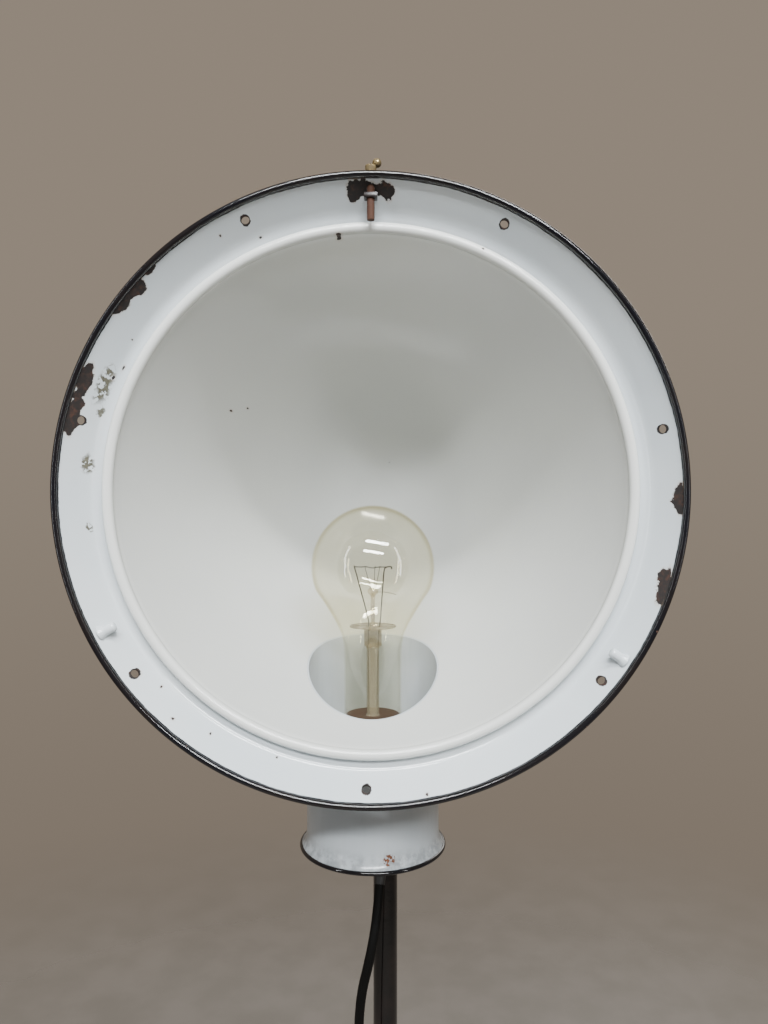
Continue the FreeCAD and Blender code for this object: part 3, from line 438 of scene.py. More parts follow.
def housing_shell():
    """Outer shell with its trough, drilled for the neck, the vents and the thumb screw."""
    shell = lathe("housing_shell", trough_outline(), HEAD, (0, 1, 0), ROUND)
    drills = [neck_drill("neck_hole")]
    reach = 0.006
    for k in range(VENT_COUNT):
        turn = VENT_START + 2 * math.pi * k / VENT_COUNT
        depth = trough_wall_depth(VENT_AT_R)
        across = reach * math.cos(WALL_ANGLE)
        along = reach * math.sin(WALL_ANGLE)
        drills.append(rod_between(
            "vent", head_point(VENT_AT_R - across, depth - along, turn),
            head_point(VENT_AT_R + across, depth + along, turn), VENT_R, 20))
    drills.append(rod_between(
        "lock_hole", head_point(0.18, LOCK_DEPTH, math.pi / 2), head_point(0.206, LOCK_DEPTH, math.pi / 2),
        LOCK_HOLE_R, 20))
    return cut(shell, joined("housing_drills", drills))


def rim_roll():
    """The rolled black edge."""
    outline = arc_points((RIM_R - RIM_WIRE_R, RIM_WIRE_R), RIM_WIRE_R, 0, 360, 20)[:-1]
    return lathe("rim_roll", outline, HEAD, (0, 1, 0), 320)


def neck_sleeve():
    """The lamp neck, trimmed to the bowl, with its flared foot."""
    inner = NECK_R - NECK_SHEET
    foot = NECK_WIRE_R
    edge = NECK_FLARE_R - NECK_WIRE_R
    bend = NECK_FLARE_H
    top = HEAD.z - 0.088 - NECK.z
    flare = [(0.0, bend), (0.0004, bend - 0.003), (0.0012, bend - 0.006), (0.0025, bend - 0.0085)]
    outline = [(inner, top), (inner, bend + 0.03)]
    outline += [(inner + out, height) for out, height in flare] + [(edge - FLARE_GAP, foot - 0.0003)]
    outline += [(edge + FLARE_GAP, foot + FLARE_GAP)]
    outline += [(NECK_R + out, height + FLARE_GAP) for out, height in flare[::-1]]
    outline += [(NECK_R, bend + 0.03), (NECK_R, top)]
    sleeve = lathe("neck_sleeve", outline, NECK, (0, 0, 1), NECK_ROUND)
    space = [(0, -0.001)] + [(DISH_MOUTH_R + 0.0005, -0.001)] + dish_line(0.0)
    return cut(sleeve, lathe("bowl_space", space, HEAD, (0, 1, 0), ROUND, closed=False))


def neck_roll():
    outline = arc_points((NECK_FLARE_R - NECK_WIRE_R, NECK_WIRE_R), NECK_WIRE_R, 0, 360, 16)[:-1]
    return lathe("neck_roll", outline, NECK, (0, 0, 1), NECK_ROUND)


def peg(name, turn):
    """A fixed enamelled peg: rounded end, fillet where it meets the wall."""
    tip = head_point(PEG_TIP_R, PEG_DEPTH, turn)
    inwards = (head_point(0, PEG_DEPTH, turn) - tip).normalized()
    wall = tip - inwards * PEG_LENGTH
    outline = [(0, PEG_LENGTH), (PEG_R * 0.55, 0.0096), (PEG_R * 0.9, 0.009), (PEG_R, 0.0078)]
    outline += [(PEG_R, 0.003), (PEG_R * 1.12, 0.0012), (PEG_R * 1.45, -0.0004), (PEG_R * 1.5, -0.0014)]
    return lathe(name, outline[::-1], wall, inwards, 32, closed=False, degrees=60)


# ---------------------------------------------------------------- bulb

def beside_bulb(across, height, forward=0.0):
    """A point in the bulb, from its axis at the level of the reflector's axis."""
    return BULB + Vector((across, -forward, height))


def bulb_profile(inset):
    """Outline of the bulb's glass from its crown to the end of its neck."""
    ball = BULB_R - inset
    points = arc_points((0, BULB_BALL), ball, 90, -22, 36)
    shoulder = [
        (0.0390, -0.0810), (0.0330, -0.0905), (0.0281, -0.0990), (0.0245, -0.1068), (0.0228, -0.1140),
        (0.0221, -0.1210),
    ]
    points += [(radius - inset, height) for radius, height in shoulder]
    points += [(0.0220 - inset, height) for height in (-0.130, -0.150, BULB_END)]
    points[0] = (0, points[0][1])
    return points


def bulb_envelope():
    outline = bulb_profile(0) + bulb_profile(0.001)[::-1]
    envelope = lathe("bulb_envelope", outline, BULB, (0, 0, 1), 96)
    smooth(envelope.data, 60)
    return envelope


def bulb_foot():
    """Glass foot: flare, tube, flattened pinch, centre rod and button."""
    tube = [(0, -0.115), (0.0036, -0.1155), (0.0047, -0.118), (0.0048, -0.124), (0.0048, -0.168),
            (0.0056, -0.1705), (0.0090, -0.1720), (0.0208, -0.173), (0.0208, -0.174), (0, -0.174)]
    foot = lathe("foot_tube", tube, BULB, (0, 0, 1), 40, closed=False)
    bm = bmesh.new()
    size = Matrix.Diagonal((0.0135, 0.0042, 0.0165, 1))
    bmesh.ops.create_cube(bm, size=1, matrix=Matrix.Translation(BULB + Vector((0, 0, -0.1105))) @ size)
    bmesh.ops.bevel(bm, geom=bm.edges[:], offset=0.0016, segments=4, affect="EDGES")
    pinch = finish_mesh("pinch", bm)
    rod = rod_between("centre_rod", beside_bulb(0, -0.104), beside_bulb(0, -0.076), FOOT_ROD_R, 20)
    cup = [(0, -0.0790), (FOOT_ROD_R, -0.0790), (0.0024, -0.0775), (0.0040, -0.0762), (0.0041, -0.0740),
           (0.0030, -0.0728), (0, -0.0722)]
    button = lathe("button", cup, BULB, (0, 0, 1), 24, closed=False)
    piece = joined("bulb_foot", [foot, pinch, rod, button])
    smooth(piece.data, 60)
    return piece


def filament_coil():
    """Tightly coiled filament sagging a little between its hooks, with a loop at its right end."""
    turns = 74
    per_turn = 8
    points = []
    start, end = -0.0143, 0.0139
    for k in range(turns * per_turn + 1):
        share = k / (turns * per_turn)
        across = start + (end - start) * share
        sag = -0.0005 * math.sin(share * math.pi * 3) ** 2 + 0.0004 * math.sin(share * 9)
        turn = 2 * math.pi * k / per_turn
        height = FILAMENT_HEIGHT + sag + FILAMENT_COIL_R * math.cos(turn)
        points.append(beside_bulb(across, height, FILAMENT_COIL_R * math.sin(turn)))
    return wire("filament_coil", points, FILAMENT_WIRE_R, order=3)


def filament_hooks():
    """Fine molybdenum hooks from the glass button, and one broken one standing out."""
    hooks = []
    for foot, top in ((-0.0014, -0.0060), (0.0008, 0.0015), (0.0018, 0.0052)):
        line = [(foot, -0.0735), (foot * 1.5, -0.0700), (top, -0.0575), (top, -0.0556),
                (top + 0.0007, -0.0554), (top + 0.0009, -0.0565)]
        hooks.append(wire("hook", [beside_bulb(*point) for point in line], HOOK_WIRE_R, order=3))
    spare = [(0.0025, -0.0752), (0.0080, -0.0750), (0.0130, -0.0757), (0.0180, -0.0772)]
    hooks.append(wire("hook", [beside_bulb(*point, 0.0024) for point in spare], SPARE_HOOK_R, order=3))
    piece = joined("filament_hooks", hooks)
    smooth(piece.data)
    return piece


def current_leads():
    """The two heavier wires from the cap through the pinch to the filament's ends."""
    left = [(-0.0030, -0.1725), (-0.0033, -0.1400), (-0.0035, -0.1040), (-0.0031, -0.0985),
            (-0.0045, -0.0920), (-0.0115, -0.0660), (-0.0138, -0.0575), (-0.0146, -0.0556),
            (-0.0140, -0.0550)]
    right = [(0.0031, -0.1725), (0.0036, -0.1400), (0.0045, -0.1040), (0.0057, -0.0985),
             (0.0062, -0.0920), (0.0080, -0.0660), (0.0086, -0.0590), (0.0094, -0.0566),
             (0.0112, -0.0560), (0.0140, -0.0556), (0.0148, -0.0566), (0.0142, -0.0578)]
    leads = [wire("lead", [beside_bulb(*point) for point in line], LEAD_WIRE_R, order=3)
             for line in (left, right)]
    piece = joined("current_leads", leads)
    smooth(piece.data)
    return piece


def cap_cement():
    """Burnt brown cement that shows through the glass at the top of the cap."""
    outline = [(0, -0.1704), (0.0100, -0.1700), (0.0188, -0.1692), (CEMENT_R, -0.1696),
               (CEMENT_R, -0.1800), (0, -0.1800)]
    return lathe("cap_cement", outline, BULB, (0, 0, 1), 64, closed=False)


# ---------------------------------------------------------------- cord

CORD_EXIT = Vector((-0.0058123, -0.0437798, 0.7651608))
CORD_ROUTE = [
    (-0.0080771, -0.0585, 0.7391178), (-0.015, -0.064, 0.703), (-0.024, -0.054, 0.663),
    (-0.027, -0.042, 0.618), (-0.026, -0.037, 0.566), (-0.032, -0.035, 0.505),
    (-0.037, -0.038, 0.438), (-0.040, -0.039, 0.370), (-0.047, -0.042, 0.304),
    (-0.051, -0.047, 0.242), (-0.060, -0.050, 0.186), (-0.076, -0.057, 0.134),
    (-0.102, -0.061, 0.092), (-0.136, -0.068, 0.062), (-0.171, -0.080, 0.045),
    (-0.199, -0.104, 0.027), (-0.211, -0.140, 0.008), (-0.210, -0.182, 0.00475),
    (-0.20175, -0.224, 0.00475),
]
TAIL_ROUTE = [(-0.145, -0.29975, 0.02375), (-0.117, -0.300, 0.021), (-0.093, -0.296, 0.014),
              (-0.067, -0.29392, 0.014)]
COIL_CENTRE = Vector((-0.145, -0.243, 0))
COIL_MID_R = 0.052
COIL_TRACKS = [(1, 0), (-1, 0), (-1, 1), (1, 1), (-1, 2), (1, 2)]   # side of the middle, layer


def coil_points():
    """Turns lying beside and on each other, each shifting to the next track near its end."""
    turn_length = 315
    step = 15
    shift_from = 0.86
    points = []
    for index, (side, layer) in enumerate(COIL_TRACKS):
        after_side, after_layer = COIL_TRACKS[min(index + 1, len(COIL_TRACKS) - 1)]
        for k in range(turn_length // step):
            share = max(0.0, (k * step / turn_length - shift_from) / (1 - shift_from))
            out = side + (after_side - side) * share
            high = layer + (after_layer - layer) * share
            turn = math.radians(180 + index * turn_length + k * step)
            radius = COIL_MID_R + out * CORD_R
            points.append((
                COIL_CENTRE.x + radius * math.cos(turn), COIL_CENTRE.y + radius * math.sin(turn),
                CORD_R + high * 2 * CORD_R))
    return points


def mains_cord():
    """The cord as one round line: the hanging stretch, the coil and the tail to the plug."""
    points = [tuple(CORD_EXIT)] + CORD_ROUTE + coil_points() + TAIL_ROUTE
    line = line_curve("cord_line", points, order=3, resolution=6)
    centres = [tuple(vertex.co) for vertex in to_mesh(line).vertices]
    line.data.bevel_depth = CORD_R
    line.data.bevel_resolution = 5
    line.data.use_fill_caps = True
    mesh = to_mesh(line)
    bpy.data.objects.remove(line)
    smooth(mesh)
    cord = new_piece("mains_cable", mesh)
    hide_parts("mains_cord", "cord_coil", "cord_tail")
    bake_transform(cord)
    return cord


# ---------------------------------------------------------------- camera, light and floor

def camera():
    data = bpy.data.cameras.new("camera")
    data.sensor_width = 36
    data.lens = 27.04
    eye = bpy.data.objects.new("camera", data)
    bpy.context.scene.collection.objects.link(eye)
    eye.location = (-0.0014, -0.810, 1.1364)
    eye.rotation_euler = (math.radians(90), 0, 0)
    bpy.context.scene.camera = eye


def area_light(name, place, target, size, power, colour=(1, 1, 1), spin=0.0):
    """A rectangular light aimed at the target and spun about its aim by some degrees."""
    data = bpy.data.lights.new(name, "AREA")
    data.shape = "RECTANGLE"
    data.size, data.size_y = size
    data.energy = power
    data.color = colour
    lamp = bpy.data.objects.new(name, data)
    bpy.context.scene.collection.objects.link(lamp)
    lamp.location = place
    aim = (Vector(target) - Vector(place)).to_track_quat("-Z", "Y")
    lamp.rotation_euler = (aim @ Quaternion((0, 0, 1), math.radians(spin))).to_euler()


def room():
    """Surroundings: a warm grey wall behind the lamp, and a dimmer room in front of it."""
    world = bpy.data.worlds.new("room")
    world.use_nodes = True
    nodes = world.node_tree.nodes
    links = world.node_tree.links
    nodes["Background"].inputs["Color"].default_value = (0.300, 0.248, 0.196, 1)
    place = nodes.new("ShaderNodeTexCoord")
    axes = nodes.new("ShaderNodeSeparateXYZ")
    strength = nodes.new("ShaderNodeMath")
    strength.operation = "MULTIPLY"
    links.new(place.outputs["Generated"], axes.inputs[0])
    for index, (axis, low, high, dimmest) in enumerate((("Y", -0.4, 0.4, 0.38), ("Z", -0.6, 0.3, 0.70))):
        fade = nodes.new("ShaderNodeMapRange")
        fade.interpolation_type = "SMOOTHSTEP"
        for name, value in (("From Min", low), ("From Max", high), ("To Min", dimmest), ("To Max", 1.0)):
            fade.inputs[name].default_value = value
        links.new(axes.outputs[axis], fade.inputs["Value"])
        links.new(fade.outputs["Result"], strength.inputs[index])
    links.new(strength.outputs[0], nodes["Background"].inputs["Strength"])
    bpy.context.scene.world = world


def lights():
    area_light("ceiling_near", (0.30, -1.70, 3.00), HEAD, (1.7, 0.16), 95, (0.96, 0.985, 1.0), -14)
    area_light("ceiling_far", (0.20, -3.50, 3.15), HEAD, (2.6, 0.24), 222, (0.96, 0.985, 1.0), -14)
    area_light("left_window", (-1.7, -1.5, 1.55), HEAD, (0.10, 2.2), 13, (0.96, 0.98, 1.0))
    area_light("right_window", (1.8, -1.7, 1.65), HEAD, (0.12, 2.2), 11, (1.0, 0.99, 0.97))
    area_light("back", (1.0, 2.4, 2.6), HEAD, (1.6, 1.6), 30, (1.0, 0.98, 0.95))


def floor():
    """A round patch of floor that fades into the surroundings."""
    shader = Shader("floor_paint")
    tone = shader.mix(shader.ramp(shader.noise(9.0, 4), 0.3, 0.7), (0.18, 0.165, 0.145), (0.21, 0.19, 0.17))
    face = shader.principled(Base_Color=tone, Roughness=0.7)
    away = shader.vector("LENGTH", shader.place, output="Value")
    fade = shader.ramp(away, 0.7, 2.3)
    clear = shader.node("ShaderNodeBsdfTransparent").outputs[0]
    bm = bmesh.new()
    bmesh.ops.create_circle(bm, cap_ends=True, segments=96, radius=FLOOR_R)
    patch = finish_mesh("floor", bm)
    patch.location.z = -0.0005
    patch.data.materials.append(shader.surface(
        shader.node("ShaderNodeMixShader", {0: fade, 1: face, 2: clear}).outputs[0]))


camera()
room()
lights()
floor()


# ---------------------------------------------------------------- patterns shared by the materials

def warped(shader, place, scale, reach):
    """The place shifted by noise, so that what is drawn with it has a ragged outline."""
    noise = shader.node(
        "ShaderNodeTexNoise", {"Vector": place, "Scale": scale, "Detail": 5.0, "Roughness": 0.65})
    centred = shader.vector("SUBTRACT", noise.outputs["Color"], (0.5, 0.5, 0.5))
    return shader.vector("ADD", place, shader.scaled(centred, reach))


ANY_DEPTH = 10                               # so that a spot's distance doesn't change along Y


def spot_distance(shader, place, centre, turn, along, across):
    """Distance from one oval spot on a face that looks along Y, 1 at the spot's edge."""
    local = shader.node(
        "ShaderNodeMapping",
        {"Vector": place, "Location": centre, "Rotation": (0, -turn, 0),
         "Scale": (along, ANY_DEPTH, across)},
        vector_type="TEXTURE",
    )
    return shader.vector("LENGTH", local.outputs[0], output="Value")


def head_spots(shader, place, spots):
    """Distance from the nearest of the spots round the head, each given as its turn in degrees, and its
    radius, half length and half width in mm."""
    nearest = None
    for degrees, radius, along, across in spots:
        turn = math.radians(degrees)
        centre = head_point(radius / 1000, 0, turn)
        found = spot_distance(shader, place, centre, turn + math.pi / 2, along / 1000, across / 1000)
        nearest = found if nearest is None else shader.math("MINIMUM", nearest, found)
    return nearest


def flattened(shader, place):
    """The place with no Y, as seen along the reflector's axis."""
    return shader.vector("MULTIPLY", place, (1, 0, 1))


VENT_RING_ALONG = 0.0034                     # half sizes of the dark rust-coloured ring round a vent
VENT_RING_OUT = 0.0028


def vent_distance(shader, place):
    """Distance from the nearest of the vents, 1 at the edge of the dark ring round it."""
    away = flattened(shader, shader.vector("SUBTRACT", place, tuple(HEAD)))
    across, _, up = shader.node("ShaderNodeSeparateXYZ", {"Vector": away}).outputs
    turn = shader.math("SUBTRACT", shader.math("ARCTAN2", up, across), VENT_START)
    nearest_turn = shader.math("PINGPONG", turn, math.pi / VENT_COUNT)
    along = shader.math("MULTIPLY", nearest_turn, VENT_AT_R / VENT_RING_ALONG)
    out = shader.math("SUBTRACT", shader.vector("LENGTH", away, output="Value"), VENT_AT_R)
    out = shader.math("DIVIDE", out, VENT_RING_OUT)
    both = shader.node("ShaderNodeCombineXYZ", {"X": along, "Y": out}).outputs[0]
    return shader.vector("LENGTH", both, output="Value")


def specks(shader, place, spacing, share, radius):
    """Scattered dots: 1 inside a dot. A share of the cells holds one."""
    cells = shader.cells(1 / spacing, place)
    chosen = shader.math("LESS_THAN", shader.channel(cells.outputs["Color"], 0), share)
    size = shader.math("MULTIPLY", shader.channel(cells.outputs["Color"], 1), radius / spacing)
    inside = shader.ramp(shader.math("SUBTRACT", cells.outputs["Distance"], size), 0.0, -0.02)
    return shader.math("MULTIPLY", inside, chosen)


def spin_bump(shader, distance):
    """Very fine rings left by spinning, and the enamel's orange peel, as a normal."""
    away = shader.vector("SUBTRACT", shader.place, tuple(HEAD))
    radius = shader.vector("LENGTH", flattened(shader, away), output="Value")
    slow = shader.scaled(shader.place, 0.06)
    rings = shader.vector("ADD", slow, shader.node("ShaderNodeCombineXYZ", {"X": radius}).outputs[0])
    streaks = shader.noise(140, 2, 0.5, rings)
    first = shader.bump(streaks, distance)
    return shader.bump(shader.noise(22, 2), distance * 2.2, first)


def rust_colour(shader, scale=260):
    grain = shader.noise(scale, 5, 0.7)
    return shader.mix(shader.ramp(grain, 0.45, 0.75), (0.008, 0.005, 0.0045), (0.055, 0.020, 0.010))


DARK_CHIPS = [
    (90.2, 195.8, 11.0, 3.6), (87.0, 195.6, 4.6, 4.4), (93.2, 195.4, 4.6, 4.2),
    (91.6, 200.6, 2.0, 2.6), (141.4, 200.6, 14.5, 3.3), (139.0, 200.0, 7.0, 4.0),
    (134.7, 201.2, 4.0, 2.0), (158.4, 198.3, 10.5, 3.6), (161.6, 198.8, 4.0, 2.4),
    (165.9, 198.2, 13.5, 2.9), (163.5, 197.6, 5.0, 3.0), (-1.4, 199.2, 10.5, 2.7),
    (-2.4, 198.2, 4.0, 3.0), (-18.0, 198.8, 13.0, 2.8), (-16.4, 198.0, 6.0, 3.4),
    (95.6, 203.0, 8.5, 1.4), (83.9, 203.4, 4.5, 1.2), (-44.0, 202.4, 2.4, 0.9),
    (-98.6, 202.6, 2.6, 0.9),
]
GREY_CHIPS = [
    (158.0, 189.4, 13.0, 3.0), (174.3, 187.9, 6.0, 2.6), (187.4, 188.6, 3.0, 1.5), (163.6, 186.8, 3.0, 1.6),
]
SMALL_CHIPS = [
    (120.5, 193.5, 0.7, 0.6), (113.5, 184.5, 1.1, 0.7), (147.6, 187.4, 0.5, 0.5), (153.5, 184.3, 1.8, 0.6),
    (156.2, 186.8, 1.5, 0.7), (137.0, 176.6, 0.6, 0.5), (218.2, 193.0, 1.4, 1.0), (223.0, 189.0, 0.8, 0.7),
    (229.0, 196.0, 1.1, 0.7), (236.5, 191.0, 0.8, 0.6), (-79.5, 199.0, 1.0, 0.7), (-109.5, 187.0, 0.7, 0.6),
]
BOWL_CHIPS = [
    (149.4, 131.5, 1.0, 0.8), (145.4, 124.6, 0.8, 0.7), (97.2, 171.4, 1.6, 0.7), (65.2, 176.2, 0.8, 0.6),
]


def chipped_enamel(name, light, dark, chips, small, grey=None, black_from=None, bead_highlight_from=None):
    """Gloss white enamel over steel, chipped through to rust, with its ground coat bared at the grey chips.
    Black enamel laps over from the rim where the radius is above black_from. The tone is lighter, as a
    painted highlight on the bead, where the radius is above bead_highlight_from."""
    shader = Shader(name)
    tone = shader.mix(shader.ramp(shader.noise(7, 3), 0.35, 0.65), dark, light)
    ragged_place = warped(shader, shader.place, 110, 0.008)
    fine_place = warped(shader, shader.place, 420, 0.0016)
    small_reach = head_spots(shader, fine_place, small)
    bare = shader.ramp(small_reach, 1.03, 0.9)
    halo = shader.ramp(small_reach, 2.4, 0.9, 0.0, 0.25)
    if chips:
        reach = head_spots(shader, ragged_place, chips)
        bare = shader.math("MAXIMUM", bare, shader.ramp(reach, 1.02, 0.97))
        # a dark rust-coloured ring is drawn round each vent
        bare = shader.math("MAXIMUM", bare, shader.ramp(vent_distance(shader, fine_place), 1.05, 0.95))
        halo = shader.math("MAXIMUM", halo, shader.ramp(reach, 1.22, 1.0, 0.0, 0.3))
    if grey:
        patch = shader.ramp(head_spots(shader, ragged_place, grey), 1.35, 0.7)
        broken = shader.ramp(shader.noise(330, 2, 0.5), 0.43, 0.50)
        ground = shader.math("MULTIPLY", patch, broken)
        coat = shader.mix(shader.noise(600), (0.035, 0.033, 0.026), (0.21, 0.20, 0.15))
        tone = shader.mix(ground, tone, coat)
    dots = specks(shader, flattened(shader, shader.place), 0.021, 0.22, 0.0007)
    bare = shader.math("MAXIMUM", bare, dots)
    # painted highlight: the bead's band is drawn in a lighter tone than the rest of the enamel
    if bead_highlight_from:
        away = flattened(shader, shader.vector("SUBTRACT", shader.place, tuple(HEAD)))
        radius = shader.vector("LENGTH", away, output="Value")
        painted_bead_highlight = shader.ramp(radius, bead_highlight_from - 0.001, bead_highlight_from + 0.001)
        tone = shader.mix(painted_bead_highlight, tone, (0.68, 0.69, 0.665))
    if black_from:
        gentle_place = warped(shader, shader.place, 60, 0.0012)
        away = flattened(shader, shader.vector("SUBTRACT", gentle_place, tuple(HEAD)))
        radius = shader.vector("LENGTH", away, output="Value")
        lap = shader.ramp(radius, black_from, black_from + 0.0004)
        tone = shader.mix(lap, tone, (0.009, 0.009, 0.011))
    tone = shader.mix(halo, tone, (0.42, 0.30, 0.20))
    colour = shader.mix(bare, tone, rust_colour(shader))
    rough = shader.ramp(bare, 0, 1, 0.13, 0.75)
    level = shader.bump(bare, 0.0006, spin_bump(shader, 0.00012), -1.0)
    return shader.surface(shader.principled(
        Base_Color=colour, Roughness=rough, Normal=level, Specular_IOR_Level=0.55))


def neck_enamel_with_painted_shade():
    """The neck's white enamel, darkened all over as painted shade under the rim: grime in the flare's
    crease, streaks, and one rusty patch in front.
    """
    shader = Shader("neck_enamel_with_painted_shade")
    z = shader.axes()[2]
    # painted shade: the neck's base tone is a darker copy of the white enamel, for the shade under the rim
    tone = shader.mix(shader.ramp(shader.noise(9, 3), 0.35, 0.65), (0.42, 0.455, 0.48), (0.50, 0.53, 0.55))
    stretched = shader.vector("MULTIPLY", shader.place, (1, 1, 0.12))
    streaks = shader.ramp(shader.noise(230, 4, 0.6, stretched), 0.50, 0.72, 0.0, 0.2)
    tone = shader.mix(streaks, tone, (0.36, 0.40, 0.42))
    crease = shader.math("MULTIPLY", shader.ramp(z, NECK.z + 0.0165, NECK.z + 0.0050),
                         shader.ramp(shader.noise(140, 4, 0.7), 0.36, 0.62))
    tone = shader.mix(shader.math("MULTIPLY", crease, 0.5), tone, (0.12, 0.13, 0.135))
    near = warped(shader, shader.place, 300, 0.004)
    patch = shader.node("ShaderNodeMapping", {
        "Vector": near, "Location": (NECK.x + 0.0128, NECK.y - 0.053, NECK.z + 0.0092),
        "Scale": (0.0048, 0.008, 0.0042)}, vector_type="TEXTURE").outputs[0]
    reach = shader.vector("LENGTH", patch, output="Value")
    rust = shader.math(
        "MULTIPLY", shader.ramp(reach, 1.1, 0.9), shader.ramp(shader.noise(480, 2), 0.44, 0.52))
    rust = shader.math("MAXIMUM", rust, specks(shader, shader.place, 0.012, 0.25, 0.0011))
    grains = shader.mix(shader.noise(300), (0.02, 0.009, 0.006), (0.24, 0.085, 0.035))
    colour = shader.mix(rust, tone, grains)
    rough = shader.ramp(rust, 0, 1, 0.2, 0.8)
    level = shader.bump(shader.noise(60, 3), 0.00025)
    return shader.surface(shader.principled(Base_Color=colour, Roughness=rough, Normal=level))


def black_gloss(name, colour, rough, wear_share, wear_colour, brown):
    """Black enamel or paint with a little wear."""
    shader = Shader(name)
    tone = shader.mix(shader.ramp(shader.noise(30, 3), 0.4, 0.7), colour, brown)
    worn = specks(shader, warped(shader, shader.place, 500, 0.0012), 0.0075, wear_share, 0.0016)
    scuffs = shader.ramp(shader.noise(900, 3, 0.7), 0.72, 0.80, 0.0, 0.5)
    worn = shader.math("MAXIMUM", worn, scuffs)
    tone = shader.mix(worn, tone, wear_colour)
    level = shader.bump(worn, 0.0002, shader.bump(shader.noise(120, 2), 0.00012), -1.0)
    return shader.surface(shader.principled(
        Base_Color=tone, Roughness=shader.ramp(worn, 0, 1, rough, 0.6), Normal=level))


def corroded(name, clean, rusted, amount, metallic):
    """Metal with rust or tarnish over part of it."""
    shader = Shader(name)
    grain = shader.noise(210, 6, 0.7)
    cover = shader.ramp(grain, 0.62 - amount * 0.3, 0.70 - amount * 0.3)
    tone = shader.mix(shader.noise(700, 3), rusted, tuple(part * 0.45 for part in rusted))
    colour = shader.mix(cover, clean, tone)
    return shader.surface(shader.principled(
        Base_Color=colour, Metallic=shader.ramp(cover, 0, 1, metallic, 0.1),
        Roughness=shader.ramp(cover, 0, 1, 0.32, 0.8), Normal=shader.bump(grain, 0.0003)))


def glass(name, tint, edge_tint, lower_tint=None, haze=0.0):
    """Thin clear glass that lets light through straight, and mirrors more towards its edges. Haze is the
    share of it that looks like tan stone, as in the pressed foot."""
    shader = Shader(name)
    edge = shader.node("ShaderNodeLayerWeight", {"Blend": 0.5}).outputs["Facing"]
    through = shader.mix(shader.ramp(edge, 0.55, 1.0), tint, edge_tint)
    if lower_tint:
        z = shader.axes()[2]
        through = shader.mix(shader.ramp(z, BULB.z - 0.090, BULB.z - 0.122, 0.0, 0.8), through, lower_tint)
    smoke = shader.ramp(shader.noise(26, 4, 0.6), 0.40, 0.75, 0.0, 0.06)
    through = shader.mix(smoke, through, (0.80, 0.72, 0.52))
    clear = shader.node("ShaderNodeBsdfTransparent", {"Color": through}).outputs[0]
    if haze:
        stone = shader.principled(Base_Color=(0.62, 0.56, 0.42), Roughness=0.2)
        clear = shader.node("ShaderNodeMixShader", {0: haze, 1: clear, 2: stone}).outputs[0]
    wave = shader.bump(shader.noise(30, 2), 0.0012)
    mirror = shader.node(
        "ShaderNodeBsdfGlossy", {"Color": (1, 1, 0.97, 1), "Roughness": 0.02, "Normal": wave})
    shine = shader.math("MULTIPLY_ADD", shader.math("POWER", edge, 5.0), 0.5)
    shader.feed(shine.node.inputs[2], 0.04)
    mixed = shader.node("ShaderNodeMixShader", {0: shine, 1: clear, 2: mirror.outputs[0]})
    return shader.surface(mixed.outputs[0])


def mica_sheet():
    """Thin mica: partly clear, partly a tan film."""
    shader = Shader("mica_sheet")
    clear = shader.node("ShaderNodeBsdfTransparent", {"Color": (0.84, 0.80, 0.68, 1)}).outputs[0]
    face = shader.principled(Base_Color=(0.50, 0.45, 0.34), Roughness=0.35)
    cover = shader.ramp(shader.noise(180, 3), 0.3, 0.7, 0.2, 0.4)
    return shader.surface(shader.node("ShaderNodeMixShader", {0: cover, 1: clear, 2: face}).outputs[0])


def solid_stuff(name, colour, rough, grain_scale=150, grain=0.15, metallic=0.0, relief=0.0002, shine=0.5):
    """A plain material whose tone varies a little."""
    shader = Shader(name)
    darker = tuple(part * (1 - grain) for part in colour)
    noise = shader.noise(grain_scale, 4, 0.6)
    tone = shader.mix(noise, darker, colour)
    return shader.surface(shader.principled(
        Base_Color=tone, Roughness=shader.ramp(noise, 0.3, 0.7, rough * 0.85, rough), Metallic=metallic,
        Normal=shader.bump(noise, relief), Specular_IOR_Level=shine))


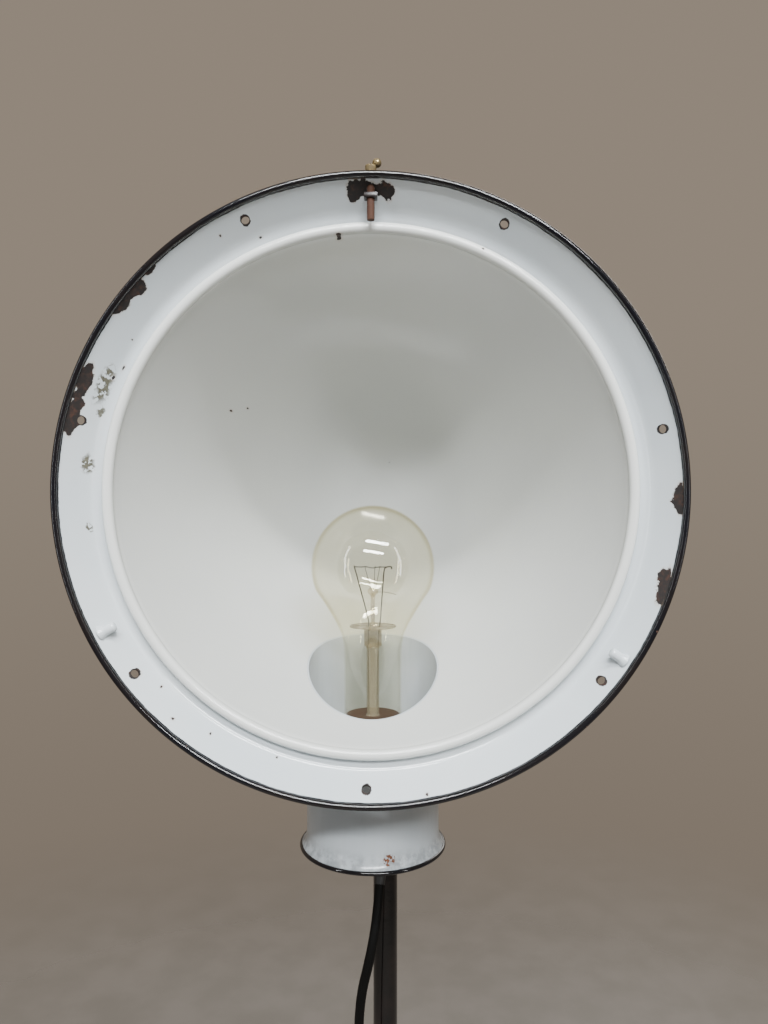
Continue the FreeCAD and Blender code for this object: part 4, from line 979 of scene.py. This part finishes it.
def make_materials():
    """One material for each of the record's slots."""
    steel_rust = (0.16, 0.062, 0.028)
    return {
        "white_enamel": chipped_enamel(
            "white_enamel", (0.62, 0.66, 0.68), (0.57, 0.62, 0.65), DARK_CHIPS, SMALL_CHIPS, GREY_CHIPS,
            black_from=RIM_R - 0.0047),
        "reflector_enamel": chipped_enamel(
            "reflector_enamel", (0.57, 0.58, 0.557), (0.545, 0.555, 0.535), None, BOWL_CHIPS,
            bead_highlight_from=BEAD_R - 0.0032),
        "black_enamel": black_gloss(
            "black_enamel", (0.006, 0.006, 0.008), 0.1, 0.04, (0.12, 0.06, 0.04), (0.010, 0.008, 0.008)),
        "black_paint": black_gloss(
            "black_paint", (0.0035, 0.003, 0.003), 0.16, 0.05, (0.10, 0.065, 0.05), (0.012, 0.008, 0.007)),
        "base_iron": black_gloss(
            "base_iron", (0.012, 0.011, 0.010), 0.34, 0.12, (0.11, 0.05, 0.03), (0.022, 0.014, 0.011)),
        "rusty_steel": corroded("rusty_steel", (0.115, 0.042, 0.017), (0.075, 0.026, 0.011), 1.0, 0.4),
        "plain_steel": corroded("plain_steel", (0.42, 0.41, 0.39), steel_rust, 0.35, 1.0),
        "zinc_steel": corroded("zinc_steel", (0.50, 0.49, 0.46), (0.25, 0.22, 0.17), 0.4, 1.0),
        "wire_nickel": solid_stuff("wire_nickel", (0.045, 0.038, 0.030), 0.45, metallic=0.4),
        "tungsten": solid_stuff("tungsten", (0.03, 0.03, 0.032), 0.45, metallic=0.5),
        "old_brass": corroded("old_brass", (0.42, 0.31, 0.13), (0.13, 0.09, 0.035), 0.7, 1.0),
        "cap_brass": corroded("cap_brass", (0.50, 0.36, 0.16), (0.12, 0.055, 0.03), 0.8, 1.0),
        "clear_glass": glass(
            "clear_glass", (0.987, 0.977, 0.926), (0.85, 0.81, 0.66), (0.985, 0.982, 0.946)),
        "stem_glass": glass("stem_glass", (0.985, 0.955, 0.89), (0.40, 0.31, 0.20), haze=0.2),
        "black_glass": solid_stuff("black_glass", (0.012, 0.010, 0.014), 0.1),
        "mica": mica_sheet(),
        "porcelain": solid_stuff("porcelain", (0.66, 0.63, 0.56), 0.18),
        "black_bakelite": solid_stuff("black_bakelite", (0.022, 0.016, 0.014), 0.28, grain=0.4),
        "fibre": solid_stuff("fibre", (0.19, 0.055, 0.035), 0.7),
        "black_rubber": solid_stuff("black_rubber", (0.022, 0.022, 0.022), 0.6, grain=0.4),
        "cord_rubber": solid_stuff(
            "cord_rubber", (0.006, 0.0058, 0.0055), 0.65, 320, 0.5, relief=0.0001, shine=0.12),
    }


# ---------------------------------------------------------------- the object put together

MATERIALS = make_materials()
BLACKENED = solid_stuff("blackened_steel", (0.018, 0.013, 0.012), 0.35, 300, 0.5)


def wear(piece, material):
    piece.data.materials.clear()
    piece.data.materials.append(material)


def dress(piece, slot, body, *stands_for, material=None):
    """Give a made piece its finish, its body and the nodes that it stands for."""
    wear(piece, material or MATERIALS[slot])
    if stands_for:
        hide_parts(*stands_for)
    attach(piece, body)


def soften(piece, width):
    """Round the carried-over part's hard edges a little."""
    piece.modifiers.new("weld", "WELD").merge_threshold = 0.00001
    bevel = piece.modifiers.new("soften", "BEVEL")
    bevel.width = width
    bevel.segments = 2
    bevel.limit_method = "ANGLE"
    bevel.angle_limit = math.radians(40)
    bevel.harden_normals = True


EDGE = {
    "tilt_grip": 0.0008, "height_grip": 0.0008, "head_bracket": 0.0008, "swivel_head": 0.0006,
    "height_collar": 0.0006, "cord_spout": 0.0004, "plug_body": 0.0005, "swivel_wing": 0.0005,
    "socket_body": 0.0006, "tilt_bolt": 0.0003, "base_screws": 0.0004, "mast_cap": 0.0003,
    "lock_nut": 0.0003,
    "lock_lever": 0.0002, "socket_bracket": 0.0002, "bracket_rivets": 0.0003, "lead_gland": 0.0002,
}

dress(housing_shell(), "white_enamel", "head", "housing")
dress(reflector_bowl(), "reflector_enamel", "head", "reflector")
dress(rim_roll(), "black_enamel", "head", "rim_bead")
dress(neck_sleeve(), "white_enamel", "head", "lamp_neck", material=neck_enamel_with_painted_shade())
dress(neck_roll(), "black_enamel", "head", "neck_rim")
pegs = joined("glass_pegs_round", [peg("peg", math.radians(turn)) for turn in PEG_TURNS])
smooth(pegs.data, 60)
dress(pegs, "white_enamel", "head", "glass_pegs")
dress(bulb_envelope(), "clear_glass", "head", "bulb_glass")
dress(bulb_foot(), "stem_glass", "head", "bulb_stem")
dress(filament_coil(), "tungsten", "head", "filament")
dress(filament_hooks(), "wire_nickel", "head", "filament_supports")
dress(current_leads(), "wire_nickel", "head", "lead_wires")
BURNT_CEMENT = solid_stuff("burnt_cement", (0.085, 0.038, 0.020), 0.9, 420, 0.85)
dress(cap_cement(), "cap_brass", "head", material=BURNT_CEMENT)
cable = mains_cord()
wear(cable, MATERIALS["cord_rubber"])

for node, piece in NODES.items():
    wear(piece, BLACKENED if node == "lock_nut" else MATERIALS[SLOT_OF[node]])
    smooth(piece.data, 30)
    if node in EDGE:
        soften(piece, EDGE[node])
